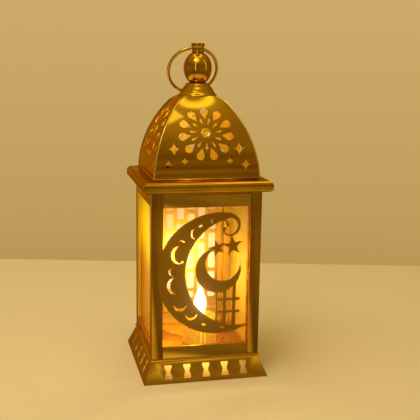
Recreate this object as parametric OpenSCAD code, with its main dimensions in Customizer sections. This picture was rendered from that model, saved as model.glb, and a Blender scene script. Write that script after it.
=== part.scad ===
// Square tabletop festival lantern: flared base, four posts, domed roof and a carrying ring.
// Millimetres, +Z up, origin on the table at the middle of the base, front face towards -Y.

/* [Body] */
// Outside width of the square body
body_w = 80; // [68:1:94]
// Height of the four corner posts
post_h = 123.4; // [104:0.2:145]
// Side of the square corner post
post_w = 8; // [7.6:0.1:9]
// Height of the rail under the roof
top_rail_h = 9.2; // [6:0.1:14]
// Height of the groove along the upper rails' top edge
top_groove_h = 1.9; // [1:0.1:4]
// Depth of that groove
top_groove_d = 1.6; // [0.8:0.1:1.7]
// Height of the rail above the floor
bottom_rail_h = 9.6; // [6:0.1:14]
// Thickness of the rails
rail_t = 2.4; // [2:0.1:2.6]
// Thickness of the front and side panes
pane_t = 1.8; // [1.2:0.1:2]

/* [Base] */
// Height of the flared skirt
skirt_h = 15.3; // [12:0.1:22]
// How far the skirt's foot stands out from the body
skirt_flare = 6.4; // [4:0.1:10]
// Thickness of the skirt, tray and dome sheet
sheet_t = 0.8; // [0.6:0.05:1]
// Height of the tray's turned-up edge above its floor
tray_lip_h = 0.4; // [0.3:0.1:4]
// Width of one bow-tie cut-out at its ends
bow_w = 5.4; // [4:0.1:7]
// Height of one bow-tie cut-out
bow_h = 9.3; // [6:0.1:10]
// Distance between bow-tie cut-outs
bow_pitch = 14.1; // [12:0.1:15]
// Cut-outs on each side
bow_count = 5; // [3:1:5]

/* [Moon ornament] */
// Thickness of the cut-out sheet on the front
moon_t = 0.8; // [0.6:0.1:1.5]
// Radius of the big moon, as a share of half the window's width
moon_share = 1.4125; // [1.25:0.0025:1.4375]
// Radius of the circle that hollows the big moon, as a share of the moon's
moon_cut_share = 0.896; // [0.865:0.001:0.905]
// How far the big moon laps over the left post
moon_lap = 4.2; // [2:0.1:6]
// Radius of the small moon, as a share of the big moon's
crescent_share = 0.372; // [0.355:0.001:0.38]
// Radius of the circle that hollows the small moon, as a share of the big moon's
crescent_cut_share = 0.285; // [0.266:0.001:0.292]
// Tip radius of the larger star, as a share of the big moon's radius
star_share = 0.168; // [0.164:0.001:0.177]
// Width of the little grille's upright bars
grille_bar = 2.6; // [1.5:0.1:3]

/* [Roof] */
// How far the roof moulding stands out from the body
eave_out = 6.7; // [6:0.1:9]
// Height of the roof moulding
eave_h = 8.9; // [8:0.1:11]
// How far the dome's foot lies inside the body's faces
dome_inset = 1.75; // [1:0.05:3]
// Radius of the dome panels' curve
dome_r = 87.2; // [74:0.2:100]
// Height of the dome's foot above the curve's centre
dome_drop = 3.6; // [3:0.1:4]
// How far the panels' tops lie inside the collar's rim
dome_top_in = 0.48; // [0.4:0.02:0.7]
// Ring of petal openings, radius
petal_ring_r = 15.6; // [15:0.1:17]
// Number of petal openings
petal_count = 11; // [8:1:12]
// Length of one petal opening
petal_len = 8.8; // [6:0.1:9]
// Width of one petal opening
petal_w = 5.8; // [4:0.1:6]

/* [Finial] */
// Radius of the collar's rim
collar_r = 14.5; // [14.2:0.1:15.5]
// Height of the collar
collar_h = 9; // [8:0.1:11]
// Widest radius of the egg
egg_r = 10.4; // [9:0.1:10.8]
// Height of the egg
egg_h = 22; // [21:0.1:24]
// Radius of the cap's neck
neck_r = 4.3; // [4.2:0.1:4.6]
// Height of the cap above the egg
cap_h = 6.6; // [6.2:0.1:8]
// Radius of the ring, to the middle of its wire
ring_r = 18.3; // [18:0.1:19]
// Radius of the ring's wire
wire_r = 1.15; // [1:0.05:1.2]
// Air between the resting ring and the collar's rim
ring_gap = 0.54; // [0.4:0.02:2]

/* [Door] */
// Width of the door's frame strips
stile_w = 6; // [5:0.1:8]
// Thickness of the door's frame
door_t = 3; // [2.8:0.1:3.4]
// Width of one lattice window
window_w = 5.8; // [4:0.1:6.2]
// Height of one lattice window
window_h = 13.4; // [9:0.1:14]
// Width of the lattice bars
lattice_bar = 2.9; // [2:0.1:4]
// Height of one hinge
hinge_h = 12; // [10:0.5:16]
// Radius of the hinge knuckles
knuckle_r = 1.3; // [1.25:0.05:1.5]

/* [Candle] */
// Wall round the cell inside the electric candle
carrier_wall = 1.6; // [1.4:0.1:3.6]
// Height of the candle's case
candle_h = 20.4; // [20.2:0.1:24]
// Height of the flame above the case
flame_h = 24.2; // [20:0.1:28]
// Widest radius of the flame
flame_r = 4.8; // [4:0.1:4.9]
// Where the candle stands, to the right of the middle
candle_x = 3; // [-5:0.5:5]
// Where the candle stands, behind the middle
candle_y = -5; // [-8:0.5:5]
// Travel of the candle's switch
switch_travel = 2.4; // [2:0.1:3]

/* [Hidden] */
$fn = 96;

// Fineness of the dome's long curves
arc_fn = 360;
// One overrun that every through cut uses
over = 1;
// Slack of a part that is set into another
fit = 0.1;
// Radial slack of a turning or sliding fit
run = 0.05;
// Air between parts that move past each other
air = 0.3;

// Main heights and half widths
half = body_w / 2;
inner = half - post_w;
floor_z = skirt_h + sheet_t;
roof_z = floor_z + post_h;
dome_z = roof_z + eave_h;
dome_half = half - dome_inset;
dome_top_half = collar_r - dome_top_in;
dome_axis_z = dome_z - dome_drop;
dome_axis_in = dome_half - sqrt(pow(dome_r, 2) - pow(dome_drop, 2));
dome_h = sqrt(pow(dome_r, 2) - pow(dome_top_half - dome_axis_in, 2)) - dome_drop;
dome_top_z = dome_z + dome_h;
egg_z = dome_top_z + collar_h;
cap_z = egg_z + egg_h;
foot_half = half + skirt_flare;
eave_half = half + eave_out;
bottom_rail_top = floor_z + bottom_rail_h;
top_rail_z = roof_z - top_groove_h - top_rail_h;

// Pane grooves in the posts
groove_inset = rail_t + fit;
groove_w = pane_t + 2 * fit;
groove_d = 2;

// Screws at both ends of the posts
screw_r = 1.2;
screw_head_r = 2.3;
screw_head_h = 1.2;
screw_slot = 0.5;
screw_len = 9;
screw_bore = screw_len + 2 * screw_slot;
screw_in = half - post_w / 2;
flange_lip = 1.6;
roof_open = inner - flange_lip;

// Half the bow-tie outline in half widths and half heights
bow_shares = [[1, -1], [1, -0.62], [0.62, -0.12], [0.62, 0.12], [1, 0.62], [1, 1]];

function lerp(a, b, t) = a + (b - a) * t;
function on_circle(r, a) = [r * cos(a), r * sin(a)];
function turned(p, a) = [p[0] * cos(a) - p[1] * sin(a), p[0] * sin(a) + p[1] * cos(a)];
function backwards(v) = [for (i = [len(v) - 1:-1:0]) v[i]];
function mirrored(v) = concat(v, [for (p = backwards(v)) [-p[0], p[1]]]);

// Outline of a box with rounded corners, centred
corner_steps = 3;
function round_box(w, h, r) = [for (c = [[1, 1, 0], [-1, 1, 90], [-1, -1, 180], [1, -1, 270]])
    for (i = [0:corner_steps])
        [c[0] * (w / 2 - r), c[1] * (h / 2 - r)] + on_circle(r, c[2] + 90 * i / corner_steps)];

// Outline of a teardrop whose point looks along -Y, centred on the middle of its length
drop_steps = 8;
drop_dip = 20;
function teardrop(len, w) = concat([[0, -len / 2]], [for (i = [0:drop_steps])
    [0, (len - w) / 2] + on_circle(w / 2, lerp(-drop_dip, 180 + drop_dip, i / drop_steps))]);

// Outline of a star with its first point up
function star(points, r, waist_share) = [for (i = [0:2 * points - 1])
    on_circle(i % 2 == 0 ? r : r * waist_share, 90 + 180 * i / points)];

// Outline of a strip that follows a spiral from angle a0 to a1, radius and width by functions
spiral_steps = 28;
function spiral(a0, a1, outer, width) = concat(
    [for (i = [0:spiral_steps]) on_circle(outer(i / spiral_steps), lerp(a0, a1, i / spiral_steps))],
    [for (i = [spiral_steps:-1:0]) on_circle(outer(i / spiral_steps) - width(i / spiral_steps),
        lerp(a0, a1, i / spiral_steps))]);

// A flat outline carried along X or Y, with its own second axis pointing up
module along_x(len) {
    translate([-len / 2, 0, 0]) rotate([90, 0, 90]) linear_extrude(len) children();
}
module along_y(len) {
    translate([0, len / 2, 0]) rotate([90, 0, 0]) linear_extrude(len) children();
}
module both_ways(len) {
    intersection() {
        along_x(len) children();
        along_y(len) children();
    }
}
module four_corners(d) {
    for (x = [-d, d], y = [-d, d]) translate([x, y, 0]) children();
}
module slab(w, z0, z1) {
    translate([-w / 2, -w / 2, z0]) cube([w, w, z1 - z0]);
}

// Base: the flared skirt and the tray that is the lantern's floor
function skirt_half(z) = lerp(foot_half, half, z / skirt_h);
module flare(z0, z1, wall) {
    both_ways(2 * foot_half + over)
        polygon(mirrored([[skirt_half(z0) - wall, z0], [skirt_half(z1) - wall, z1]]));
}
module bow_ties() {
    for (i = [0:bow_count - 1])
        translate([(i - (bow_count - 1) / 2) * bow_pitch, skirt_h / 2])
            polygon(mirrored([for (p = bow_shares) [p[0] * bow_w / 2, p[1] * bow_h / 2]]));
}
module base_skirt() {
    color("goldenrod") difference() {
        flare(0, skirt_h, 0);
        flare(-over, skirt_h - sheet_t, sheet_t);
        slab(2 * roof_open, 0, skirt_h + over);
        along_y(2 * foot_half + over) bow_ties();
        rotate(90) along_y(2 * foot_half + over) bow_ties();
        four_corners(screw_in) cylinder(r = screw_r + run, h = skirt_h + over);
    }
}
module floor_tray() {
    color("gold") difference() {
        slab(body_w + 2 * sheet_t, skirt_h, floor_z + tray_lip_h);
        slab(body_w, floor_z, floor_z + tray_lip_h + over);
        four_corners(screw_in) translate([0, 0, skirt_h - over])
            cylinder(r = screw_r + run, h = sheet_t + 2 * over);
    }
}

// Posts: each stands on the tray, grooved for the panes and bored for a screw at both ends
module pane_groove() {
    translate([-inner - groove_d, -half + groove_inset, -over])
        cube([groove_d + over, groove_w, post_h + 2 * over]);
}
module post_bores() {
    translate([-screw_in, -screw_in, 0]) {
        translate([0, 0, -over]) cylinder(r = screw_r + run, h = screw_bore + over);
        translate([0, 0, post_h - screw_bore]) cylinder(r = screw_r + run, h = screw_bore + over);
    }
}
module front_post() {
    color("goldenrod") translate([0, 0, floor_z]) difference() {
        translate([-half, -half, 0]) cube([post_w, post_w, post_h]);
        pane_groove();
        mirror([1, -1, 0]) pane_groove();
        post_bores();
    }
}

// The door lies between the back posts, behind a lip on each
door_gap = 0.5;
door_lip = 1.2;
door_half = inner - door_gap;
door_back = half - fit;
door_face = door_back - door_t;
door_z0 = bottom_rail_top + door_gap;
door_z1 = top_rail_z - door_gap;
door_mid_z = (door_z0 + door_z1) / 2;
module back_post() {
    color("goldenrod") translate([0, 0, floor_z]) difference() {
        union() {
            translate([-half, inner, 0]) cube([post_w, post_w, post_h]);
            translate([-inner - over, inner, 0]) cube([over + door_lip, door_face - air - inner, post_h]);
        }
        mirror([0, 1, 0]) {
            mirror([1, -1, 0]) pane_groove();
            post_bores();
        }
    }
}
module post_front_left() { front_post(); }
module post_front_right() { mirror([1, 0, 0]) front_post(); }
module post_back_left() {
    difference() {
        back_post();
        catch_pocket();
    }
}
module post_back_right() {
    difference() {
        mirror([1, 0, 0]) back_post();
        each_rivet() translate([inner + rivet_in, half, 0]) rivet_bore();
    }
}

// Rails: between the posts, flush with their outer faces; the upper ones reach the roof plate
seam = 0.1;
module bottom_rail(side) {
    color("gold") rotate(side) translate([-inner + seam, -half, floor_z])
        cube([2 * (inner - seam), rail_t, bottom_rail_h]);
}
module top_rail(side) {
    color("gold") rotate(side) difference() {
        translate([-inner + seam, -half, top_rail_z])
            cube([2 * (inner - seam), rail_t, top_rail_h + top_groove_h]);
        translate([-inner, -half - over, top_rail_z + top_rail_h])
            cube([2 * inner, top_groove_d + over, top_groove_h + over]);
    }
}
module front_top_rail() { top_rail(0); }
module right_top_rail() { top_rail(90); }
module back_top_rail() { top_rail(180); }
module left_top_rail() { top_rail(270); }
module front_bottom_rail() { bottom_rail(0); }
module right_bottom_rail() { bottom_rail(90); }
module back_bottom_rail() { bottom_rail(180); }
module left_bottom_rail() { bottom_rail(270); }

// Panes: they stand on the tray and reach up to the roof plate
module pane(side) {
    rotate(side) translate([-inner - groove_d + fit, -half + rail_t + 2 * fit, floor_z])
        cube([2 * (inner + groove_d - fit), pane_t, post_h]);
}
pane_colour = [1, 0.93, 0.75, 0.35];
module front_pane() { color(pane_colour) pane(0); }
module right_pane() { color(pane_colour) pane(90); }
module left_pane() { color(pane_colour) pane(270); }

// Moon ornament: one cut sheet, drawn about the middle of the big moon
moon_r = moon_share * inner;
moon_x = moon_r - inner - moon_lap;
moon_rise = 2.4;
moon_z = (bottom_rail_top + top_rail_z) / 2 + moon_rise;
function in_moon(x_share, z_share) = [x_share * moon_r, z_share * moon_r];
moon_cut_at = in_moon(0.343, 0.022);
crescent_at = in_moon(-0.013, 0.06);
crescent_cut_at = in_moon(0.0605, 0.165);
star_1_at = in_moon(-0.035, 0.42);
star_2_at = in_moon(0.219, 0.448);
star_1_share = 0.87;
star_waist_share = 0.39;
star_turns = [18, 8];
horn_end_share = 0.137;

// The big moon's upper horn runs into a curl and carries a small hook
curl_at = in_moon(0.146, 0.785);
curl_share = 0.206;
curl_turn = [100, -145];
curl_shrink_shares = [0.14, 0.37];
curl_w = 1.4;
horn_w = 4.2;
curl_outer = function(t) curl_share * moon_r
    * (1 - curl_shrink_shares[0] * t - curl_shrink_shares[1] * pow(t, 8));
curl_width = function(t) lerp(horn_w, curl_w, 1 - pow(1 - t, 3));
hook_at = in_moon(0.033, 0.781);
hook_share = 0.113;
hook_turn = [95, 5];
hook_w = 1.5;
hook_start_share = 0.6;
hook_ball_share = 0.75;
hook_outer = function(t) hook_share * moon_r;
hook_width = function(t) hook_w * lerp(hook_start_share, 1, t);

// The little grille between the moons: its uprights and crossbars
grille_x_shares = [-0.033, 0.093, 0.252];
grille_z_shares = [-0.431, -0.639];
grille_end_share = 0.354;
grille_top_share = -0.166;
grille_foot_share = -0.885;
thin_bar = 1.2;
cross_bar = 2;

// Crescent piercings of the big moon: place and radius as shares of its own radius, and the way each opens
moon_hole_shares = [[-0.105, 0.864, 0.04, 0], [-0.381, 0.662, 0.095, 0], [-0.611, 0.526, 0.044, -98],
    [-0.634, 0.331, 0.151, 5], [-0.747, 0.057, 0.072, 6], [-0.706, -0.167, 0.139, 2],
    [-0.629, -0.477, 0.115, 87], [-0.448, -0.652, 0.098, 89], [0.058, -0.874, 0.04, 60]];
moon_dash_shares = [[111.5, 0.849, 0.036], [254, 0.871, 0.036]];
dash_round_share = 0.45;
moon_dot_share = 0.021;
moon_dot_at = in_moon(-0.605, 0.215);
hole_cut_share = 1.12;
hole_shift_share = 0.5;

module moon_holes() {
    for (h = moon_hole_shares) translate(in_moon(h[0], h[1])) rotate(h[3]) difference() {
        circle(h[2] * moon_r, $fn = 48);
        translate([hole_shift_share * h[2] * moon_r, 0]) circle(hole_cut_share * h[2] * moon_r, $fn = 48);
    }
    for (h = moon_dash_shares) rotate(h[0]) translate([h[1] * moon_r, 0]) rotate(90)
        polygon(round_box(2 * h[2] * moon_r, h[2] * moon_r, dash_round_share * h[2] * moon_r));
    translate(moon_dot_at) circle(moon_dot_share * moon_r, $fn = 24);
}
module big_moon() {
    difference() {
        circle(moon_r, $fn = arc_fn);
        translate(moon_cut_at) circle(moon_cut_share * moon_r, $fn = arc_fn);
        translate([horn_end_share * moon_r, 0]) square(moon_r);
        moon_holes();
    }
}
module small_moon() {
    difference() {
        translate(crescent_at) circle(crescent_share * moon_r);
        translate(crescent_cut_at) circle(crescent_cut_share * moon_r);
    }
}
module grille() {
    foot = grille_foot_share * moon_r;
    rise = (grille_top_share - grille_foot_share) * moon_r;
    for (x = grille_x_shares) {
        w = x == grille_x_shares[0] ? thin_bar : grille_bar;
        translate([x * moon_r - w / 2, foot]) square([w, rise]);
    }
    for (z = grille_z_shares) translate([grille_x_shares[0] * moon_r, z * moon_r - cross_bar / 2])
        square([(grille_end_share - grille_x_shares[0]) * moon_r, cross_bar]);
}
module cut_sheet(place) {
    translate(place) linear_extrude(moon_t) children();
}
module moon_ornament() {
    star_r = star_share * moon_r;
    color("darkgoldenrod") translate([moon_x, -half, moon_z]) rotate([90, 0, 0]) {
        cut_sheet([0, 0]) big_moon();
        cut_sheet([0, 0]) small_moon();
        cut_sheet([0, 0]) grille();
        cut_sheet(star_1_at) rotate(star_turns[0]) polygon(star(5, star_r * star_1_share, star_waist_share));
        cut_sheet(star_2_at) rotate(star_turns[1]) polygon(star(5, star_r, star_waist_share));
        cut_sheet(curl_at) polygon(spiral(curl_turn[0], curl_turn[1], curl_outer, curl_width));
        cut_sheet(curl_at + on_circle(curl_outer(1) - curl_w / 2, curl_turn[1])) circle(curl_w, $fn = 24);
        cut_sheet(hook_at) polygon(spiral(hook_turn[0], hook_turn[1], hook_outer, hook_width));
        cut_sheet(hook_at + on_circle(hook_outer(1) - hook_w / 2, hook_turn[1]))
            circle(hook_ball_share * hook_w, $fn = 24);
    }
}

// Roof: a plate on the posts, and the hollow moulding round it that carries the dome
eave_lip_in = 1.4;
eave_lip_h = 0.9;
eave_round = 4;
eave_fall = 1;
dome_seat = 3;
module eave_outline(wall, drop) {
    lip = eave_half - eave_lip_in - wall;
    side = eave_half - wall;
    round_z = dome_z - eave_fall - eave_round;
    shelf = roof_z + eave_lip_h + wall;
    polygon(mirrored([[lip, roof_z - drop], [lip, shelf], [side, shelf], [side, round_z],
        [eave_half - eave_round, dome_z - eave_fall - wall], [dome_half, dome_z - wall]]));
    for (s = [-1, 1]) translate([s * (eave_half - eave_round), round_z]) circle(eave_round - wall);
}
module eave_moulding() {
    color("gold") difference() {
        both_ways(2 * eave_half + over) eave_outline(0, 0);
        both_ways(2 * eave_half + over) eave_outline(sheet_t, over);
        slab(2 * (dome_half - dome_seat), roof_z, dome_z + over);
    }
}
module roof_plate() {
    color("goldenrod") difference() {
        slab(2 * (eave_half - eave_lip_in - sheet_t), roof_z, roof_z + sheet_t);
        slab(2 * roof_open, roof_z - over, roof_z + sheet_t + over);
        four_corners(screw_in) translate([0, 0, roof_z - over])
            cylinder(r = screw_r + run, h = sheet_t + 2 * over);
    }
}

// Dome: four curved panels, soldered along the hips, with their tops trimmed to a round crown
crown_slope = 2.2;
crown_r = collar_r - fit;
crown_wall = sheet_t * sqrt(1 + pow(crown_slope, 2));
module vault(wall, extra) {
    intersection() {
        both_ways(2 * dome_half + over) intersection() {
            translate([dome_axis_in, dome_axis_z]) circle(dome_r - wall, $fn = arc_fn);
            translate([-dome_axis_in, dome_axis_z]) circle(dome_r - wall, $fn = arc_fn);
            translate([-dome_half, dome_z - extra]) square([2 * dome_half, dome_h + 2 * extra]);
        }
        translate([0, 0, dome_z - extra])
            cylinder(r1 = crown_r + crown_slope * (dome_h + extra) - (wall > 0 ? crown_wall : 0),
                r2 = crown_r - crown_slope * extra - (wall > 0 ? crown_wall : 0), h = dome_h + 2 * extra);
    }
}

// The flower and stars are punched square to the panel at the flower's middle
flower_rise_share = 0.556;
flower_angle = asin((flower_rise_share * dome_h + dome_drop) / dome_r);
slot_len = 5.2;
slot_w = 1.9;
slot_ring_r = 9;
hub_hole_r = 1.6;
hub_r = 2.3;
hub_lobes = 6;
hub_lobe_share = 0.62;
hub_t = 0.5;
spark_waist_share = 0.28;
spark_sizes = [[4.1, 5.2], [3.2, 2.7], [3.9, 4.2]];
spark_place_shares = [[0.617, -0.293], [0.426, -0.523], [0.732, -0.591]];
punch_in = 14;
punch_out = 6;
module on_flower(side) {
    middle = [0, -dome_axis_in - dome_r * cos(flower_angle), dome_axis_z + dome_r * sin(flower_angle)];
    rotate(side) translate(middle) rotate([90 - flower_angle, 0, 0]) children();
}
module flower() {
    for (i = [0:petal_count - 1]) {
        rotate(360 * i / petal_count) translate([0, petal_ring_r]) polygon(teardrop(petal_len, petal_w));
        rotate(360 * (i + 0.5) / petal_count) translate([0, slot_ring_r]) polygon(teardrop(slot_len, slot_w));
    }
    circle(hub_hole_r, $fn = 24);
    for (s = [-1, 1], i = [0:len(spark_sizes) - 1])
        translate([s * spark_place_shares[i][0] * dome_half, spark_place_shares[i][1] * dome_half])
            polygon([for (p = star(4, 1, spark_waist_share))
                [p[0] * spark_sizes[i][0], p[1] * spark_sizes[i][1]]]);
}
module dome_panel(side) {
    color("gold") difference() {
        intersection() {
            difference() {
                vault(0, 0);
                vault(sheet_t, over);
            }
            rotate(side) linear_extrude(dome_top_z + over)
                polygon([[0, 0], [2 * dome_half, -2 * dome_half], [-2 * dome_half, -2 * dome_half]]);
        }
        on_flower(side) translate([0, 0, -punch_in]) linear_extrude(punch_in + punch_out) flower();
    }
}
module dome_front() { dome_panel(0); }
module dome_right() { dome_panel(90); }
module dome_back() { dome_panel(180); }
module dome_left() { dome_panel(270); }
module dome_rosettes() {
    color("khaki") for (side = [0:90:270]) on_flower(side) linear_extrude(hub_t) difference() {
        union() {
            circle(hub_r, $fn = 24);
            for (i = [0:hub_lobes - 1]) rotate(360 * i / hub_lobes) translate([0, hub_r])
                circle(hub_lobe_share * hub_r, $fn = 24);
        }
        circle(hub_hole_r, $fn = 24);
    }
}

// Finial: collar, egg and cap, drawn down onto the dome by a rod with a nut inside
rod_r = 2;
plate_r = crown_r - crown_wall - fit;
nut_r = 3.8;
nut_h = 2.4;
washer_r = 5;
washer_t = 0.6;
rod_foot = 1.4;
spigot_wall_in = 1.1;
spigot_r = neck_r - spigot_wall_in;
spigot_h = 4.6;
rod_in = 4;
rod_top_z = cap_z - spigot_h + rod_in;
collar_wall = 0.88;
collar_shares = [[1, 0], [0.93, 0.1], [0.745, 0.6], [0.63, 0.82], [0.6, 0.93], [0.54, 1]];
module dome_top_plate() {
    color("goldenrod") translate([0, 0, dome_top_z - sheet_t]) difference() {
        cylinder(r = plate_r, h = sheet_t);
        translate([0, 0, -over]) cylinder(r = rod_r + run, h = sheet_t + 2 * over);
    }
}
module finial_collar() {
    outer = [for (p = collar_shares) [p[0] * collar_r, p[1] * collar_h]];
    wall_in = [for (p = backwards(outer)) [p[0] - collar_wall, min(p[1], collar_h - sheet_t)]];
    color("gold") translate([0, 0, dome_top_z]) rotate_extrude()
        polygon(concat(outer, [[rod_r + run, collar_h], [rod_r + run, collar_h - sheet_t]], wall_in));
}

// The egg is part of one ellipse below its widest height and part of another above it
egg_steps = 14;
egg_wide_share = 0.49;
egg_low_share = 0.585;
egg_top_in = 0.34;
egg_top_r = neck_r - egg_top_in;
egg_draw_share = sqrt(1 - pow(egg_top_r / egg_r, 2));
function egg_low(t) = [egg_r * sqrt(1 - pow(t * egg_wide_share / egg_low_share, 2)),
    egg_h * egg_wide_share * (1 - t)];
function egg_high(t) = [egg_r * sqrt(1 - pow(t * egg_draw_share, 2)), egg_h * lerp(egg_wide_share, 1, t)];
module finial_egg() {
    color("gold") translate([0, 0, egg_z]) difference() {
        rotate_extrude() polygon(concat([[0, 0]], [for (i = [egg_steps:-1:0]) egg_low(i / egg_steps)],
            [for (i = [1:egg_steps]) egg_high(i / egg_steps)], [[0, egg_h]]));
        translate([0, 0, -over]) cylinder(r = rod_r + fit, h = egg_h + 2 * over);
        translate([0, 0, egg_h - spigot_h - fit]) cylinder(r = spigot_r + fit, h = spigot_h + over);
    }
}

// The ring's wire runs across the cap's neck through a bore
ring_hole_r = 2.1;
ring_hole_rise = 2.7;
ring_z = cap_z + ring_hole_rise;
cap_r = 4.9;
cap_shares = [0.52, 0.67, 0.95];
module finial_cap() {
    color("goldenrod") translate([0, 0, cap_z]) difference() {
        union() {
            rotate_extrude() polygon([[0, 0], [neck_r, 0], [neck_r, cap_h * cap_shares[0]],
                [cap_r, cap_h * cap_shares[1]], [cap_r, cap_h * cap_shares[2]],
                [cap_r - cap_h * (1 - cap_shares[2]), cap_h], [0, cap_h]]);
            translate([0, 0, -spigot_h]) cylinder(r = spigot_r, h = spigot_h);
        }
        translate([-cap_r - over, 0, ring_hole_rise]) rotate([0, 90, 0])
            cylinder(r = ring_hole_r, h = 2 * (cap_r + over));
        translate([0, 0, -spigot_h - over]) cylinder(r = rod_r + run, h = rod_in + over + fit);
    }
}
module finial_rod() {
    z0 = dome_top_z - sheet_t - washer_t - nut_h - rod_foot;
    color("silver") translate([0, 0, z0]) cylinder(r = rod_r, h = rod_top_z - z0);
}
module finial_washer() {
    color("silver") translate([0, 0, dome_top_z - sheet_t - washer_t]) difference() {
        cylinder(r = washer_r, h = washer_t);
        translate([0, 0, -over]) cylinder(r = rod_r + fit, h = washer_t + 2 * over);
    }
}
module finial_nut() {
    color("silver") translate([0, 0, dome_top_z - sheet_t - washer_t - nut_h]) difference() {
        cylinder(r = nut_r, h = nut_h, $fn = 6);
        translate([0, 0, -over]) cylinder(r = rod_r + run, h = nut_h + 2 * over);
    }
}

// Ring: it rests leaning back by the collar, slid a little to one side in its bore
ring_slide = 6.5;
ring_ease = 0.5;
ring_drop = ring_r * (1 + cos(ring_slide)) - ring_ease;
ring_tilt = asin((collar_r + wire_r + ring_gap) / ring_drop);
module carry_ring() {
    color("gold") translate([0, 0, ring_z]) rotate([ring_tilt, 0, 0])
        translate([-ring_r * sin(ring_slide), 0, -ring_r * cos(ring_slide) + ring_ease])
            rotate([90, 0, 0]) rotate_extrude() translate([ring_r, 0]) circle(wire_r, $fn = 32);
}

// Screws: through the skirt's flange and the tray from below, through the roof plate from above
module screw(grip) {
    difference() {
        union() {
            translate([0, 0, -screw_head_h]) cylinder(r = screw_head_r, h = screw_head_h);
            cylinder(r = screw_r, h = grip + screw_len);
        }
        translate([-screw_head_r - over, -screw_slot / 2, -screw_head_h - over])
            cube([2 * (screw_head_r + over), screw_slot, over + screw_slot]);
    }
}
module base_screws() {
    color("silver") four_corners(screw_in) translate([0, 0, skirt_h - sheet_t]) screw(2 * sheet_t);
}
module roof_screws() {
    color("silver") four_corners(screw_in) translate([0, 0, roof_z + sheet_t]) mirror([0, 0, 1])
        screw(sheet_t);
}

// Door: a rebated frame with a milky pane and a lattice behind it, hinged on the right back post
rebate_w = 1.6;
lattice_t = 0.7;
door_pane_t = 1.2;
rebate_d = lattice_t + door_pane_t;
window_round = 1.6;
window_step = window_w + lattice_bar;
window_rise = window_h + lattice_bar;
sheet_w = 2 * (door_half - stile_w);
sheet_h = door_z1 - door_z0 - 2 * stile_w;
window_cols = floor((sheet_w + lattice_bar) / window_step);
window_rows = floor((sheet_h + lattice_bar) / window_rise);
short_h = (window_h - lattice_bar) / 2;
module door_sheet(y, t, in) {
    translate([-door_half + in, y, door_z0 + in])
        cube([2 * (door_half - in), t, door_z1 - door_z0 - 2 * in]);
}
module door_frame() {
    color("goldenrod") difference() {
        door_sheet(door_face, door_t, 0);
        door_sheet(door_face - over, door_t + 2 * over, stile_w);
        door_sheet(door_face - over, rebate_d + over, stile_w - rebate_w);
        translate([knob_x, door_back + over, door_mid_z]) rotate([90, 0, 0])
            cylinder(r = knob_pin_r + run, h = door_t + 2 * over);
        each_rivet() translate([inner - rivet_in, door_back, 0]) rivet_bore();
    }
}
module door_pane() {
    color([1, 0.95, 0.8, 0.8]) door_sheet(door_face + lattice_t, door_pane_t, stile_w - rebate_w + fit);
}
module lattice_windows() {
    for (c = [0:window_cols - 1]) translate([(c - (window_cols - 1) / 2) * window_step, 0]) {
        full = window_rows - c % 2;
        for (r = [0:full - 1]) translate([0, (r - (full - 1) / 2) * window_rise])
            polygon(round_box(window_w, window_h, window_round));
        if (c % 2 == 1) for (s = [-1, 1])
            translate([0, s * (full / 2 * window_rise + short_h / 2 + lattice_bar / 2)])
                polygon(round_box(window_w, short_h, window_round));
    }
}
module door_lattice() {
    color("darkgoldenrod") difference() {
        door_sheet(door_face, lattice_t, stile_w - rebate_w + fit);
        translate([0, 0, door_mid_z]) along_y(4 * half) lattice_windows();
    }
}
knob_x = -door_half + stile_w / 2;
knob_pin_r = 0.9;
knob_r = 2.4;
knob_neck = 3.2;
knob_rose_r = 1.9;
module door_knob() {
    color("gold") translate([knob_x, door_back, door_mid_z]) rotate([-90, 0, 0]) {
        translate([0, 0, -door_t]) cylinder(r = knob_pin_r, h = door_t + knob_neck);
        cylinder(r = knob_rose_r, h = sheet_t);
        translate([0, 0, knob_neck]) sphere(knob_r);
    }
}

// Hinges: post leaf with two knuckles, door leaf with one between them, a pin through all three
hinge_in = 12;
leaf_w = 6.2;
leaf_t = 0.6;
pin_r = 0.7;
pin_head_r = 1.15;
pin_head_h = 0.5;
knuckle_share = 0.3;
knuckle_gap = 0.15;
rivet_r = 0.7;
rivet_head_r = 1.1;
rivet_head_h = 0.5;
rivet_len = 1.6;
rivet_in = 3.4;
rivet_shares = [0.25, 0.75];
hinge_y = half + knuckle_r + air;
knuckle_h = hinge_h * knuckle_share;
hinge_zs = [door_z0 + hinge_in, door_z1 - hinge_in - hinge_h];
module each_hinge() {
    for (z = hinge_zs) translate([0, 0, z]) children();
}
module each_rivet() {
    each_hinge() for (s = rivet_shares) translate([0, 0, s * hinge_h]) children();
}
module rivet_bore() {
    translate([0, over + leaf_t, 0]) rotate([90, 0, 0])
        cylinder(r = rivet_r + run, h = rivet_len + leaf_t + over, $fn = 24);
}
module rivet() {
    translate([0, leaf_t, 0]) rotate([90, 0, 0]) {
        cylinder(r = rivet_r, h = rivet_len + leaf_t, $fn = 24);
        translate([0, 0, -rivet_head_h]) cylinder(r = rivet_head_r, h = rivet_head_h, $fn = 24);
    }
}
module knuckle(z, h, r) {
    translate([inner, hinge_y, z]) cylinder(r = r, h = h, $fn = 48);
}
module hinge_post_leaves() {
    color("gold") difference() {
        each_hinge() difference() {
            union() {
                translate([inner, half, 0]) cube([leaf_w, leaf_t, hinge_h]);
                knuckle(0, knuckle_h, knuckle_r);
                knuckle(hinge_h - knuckle_h, knuckle_h, knuckle_r);
            }
            knuckle(knuckle_h, hinge_h - 2 * knuckle_h, knuckle_r + air);
            knuckle(-over, hinge_h + 2 * over, pin_r + run);
        }
        each_rivet() translate([inner + rivet_in, half, 0]) rivet_bore();
    }
}
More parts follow.
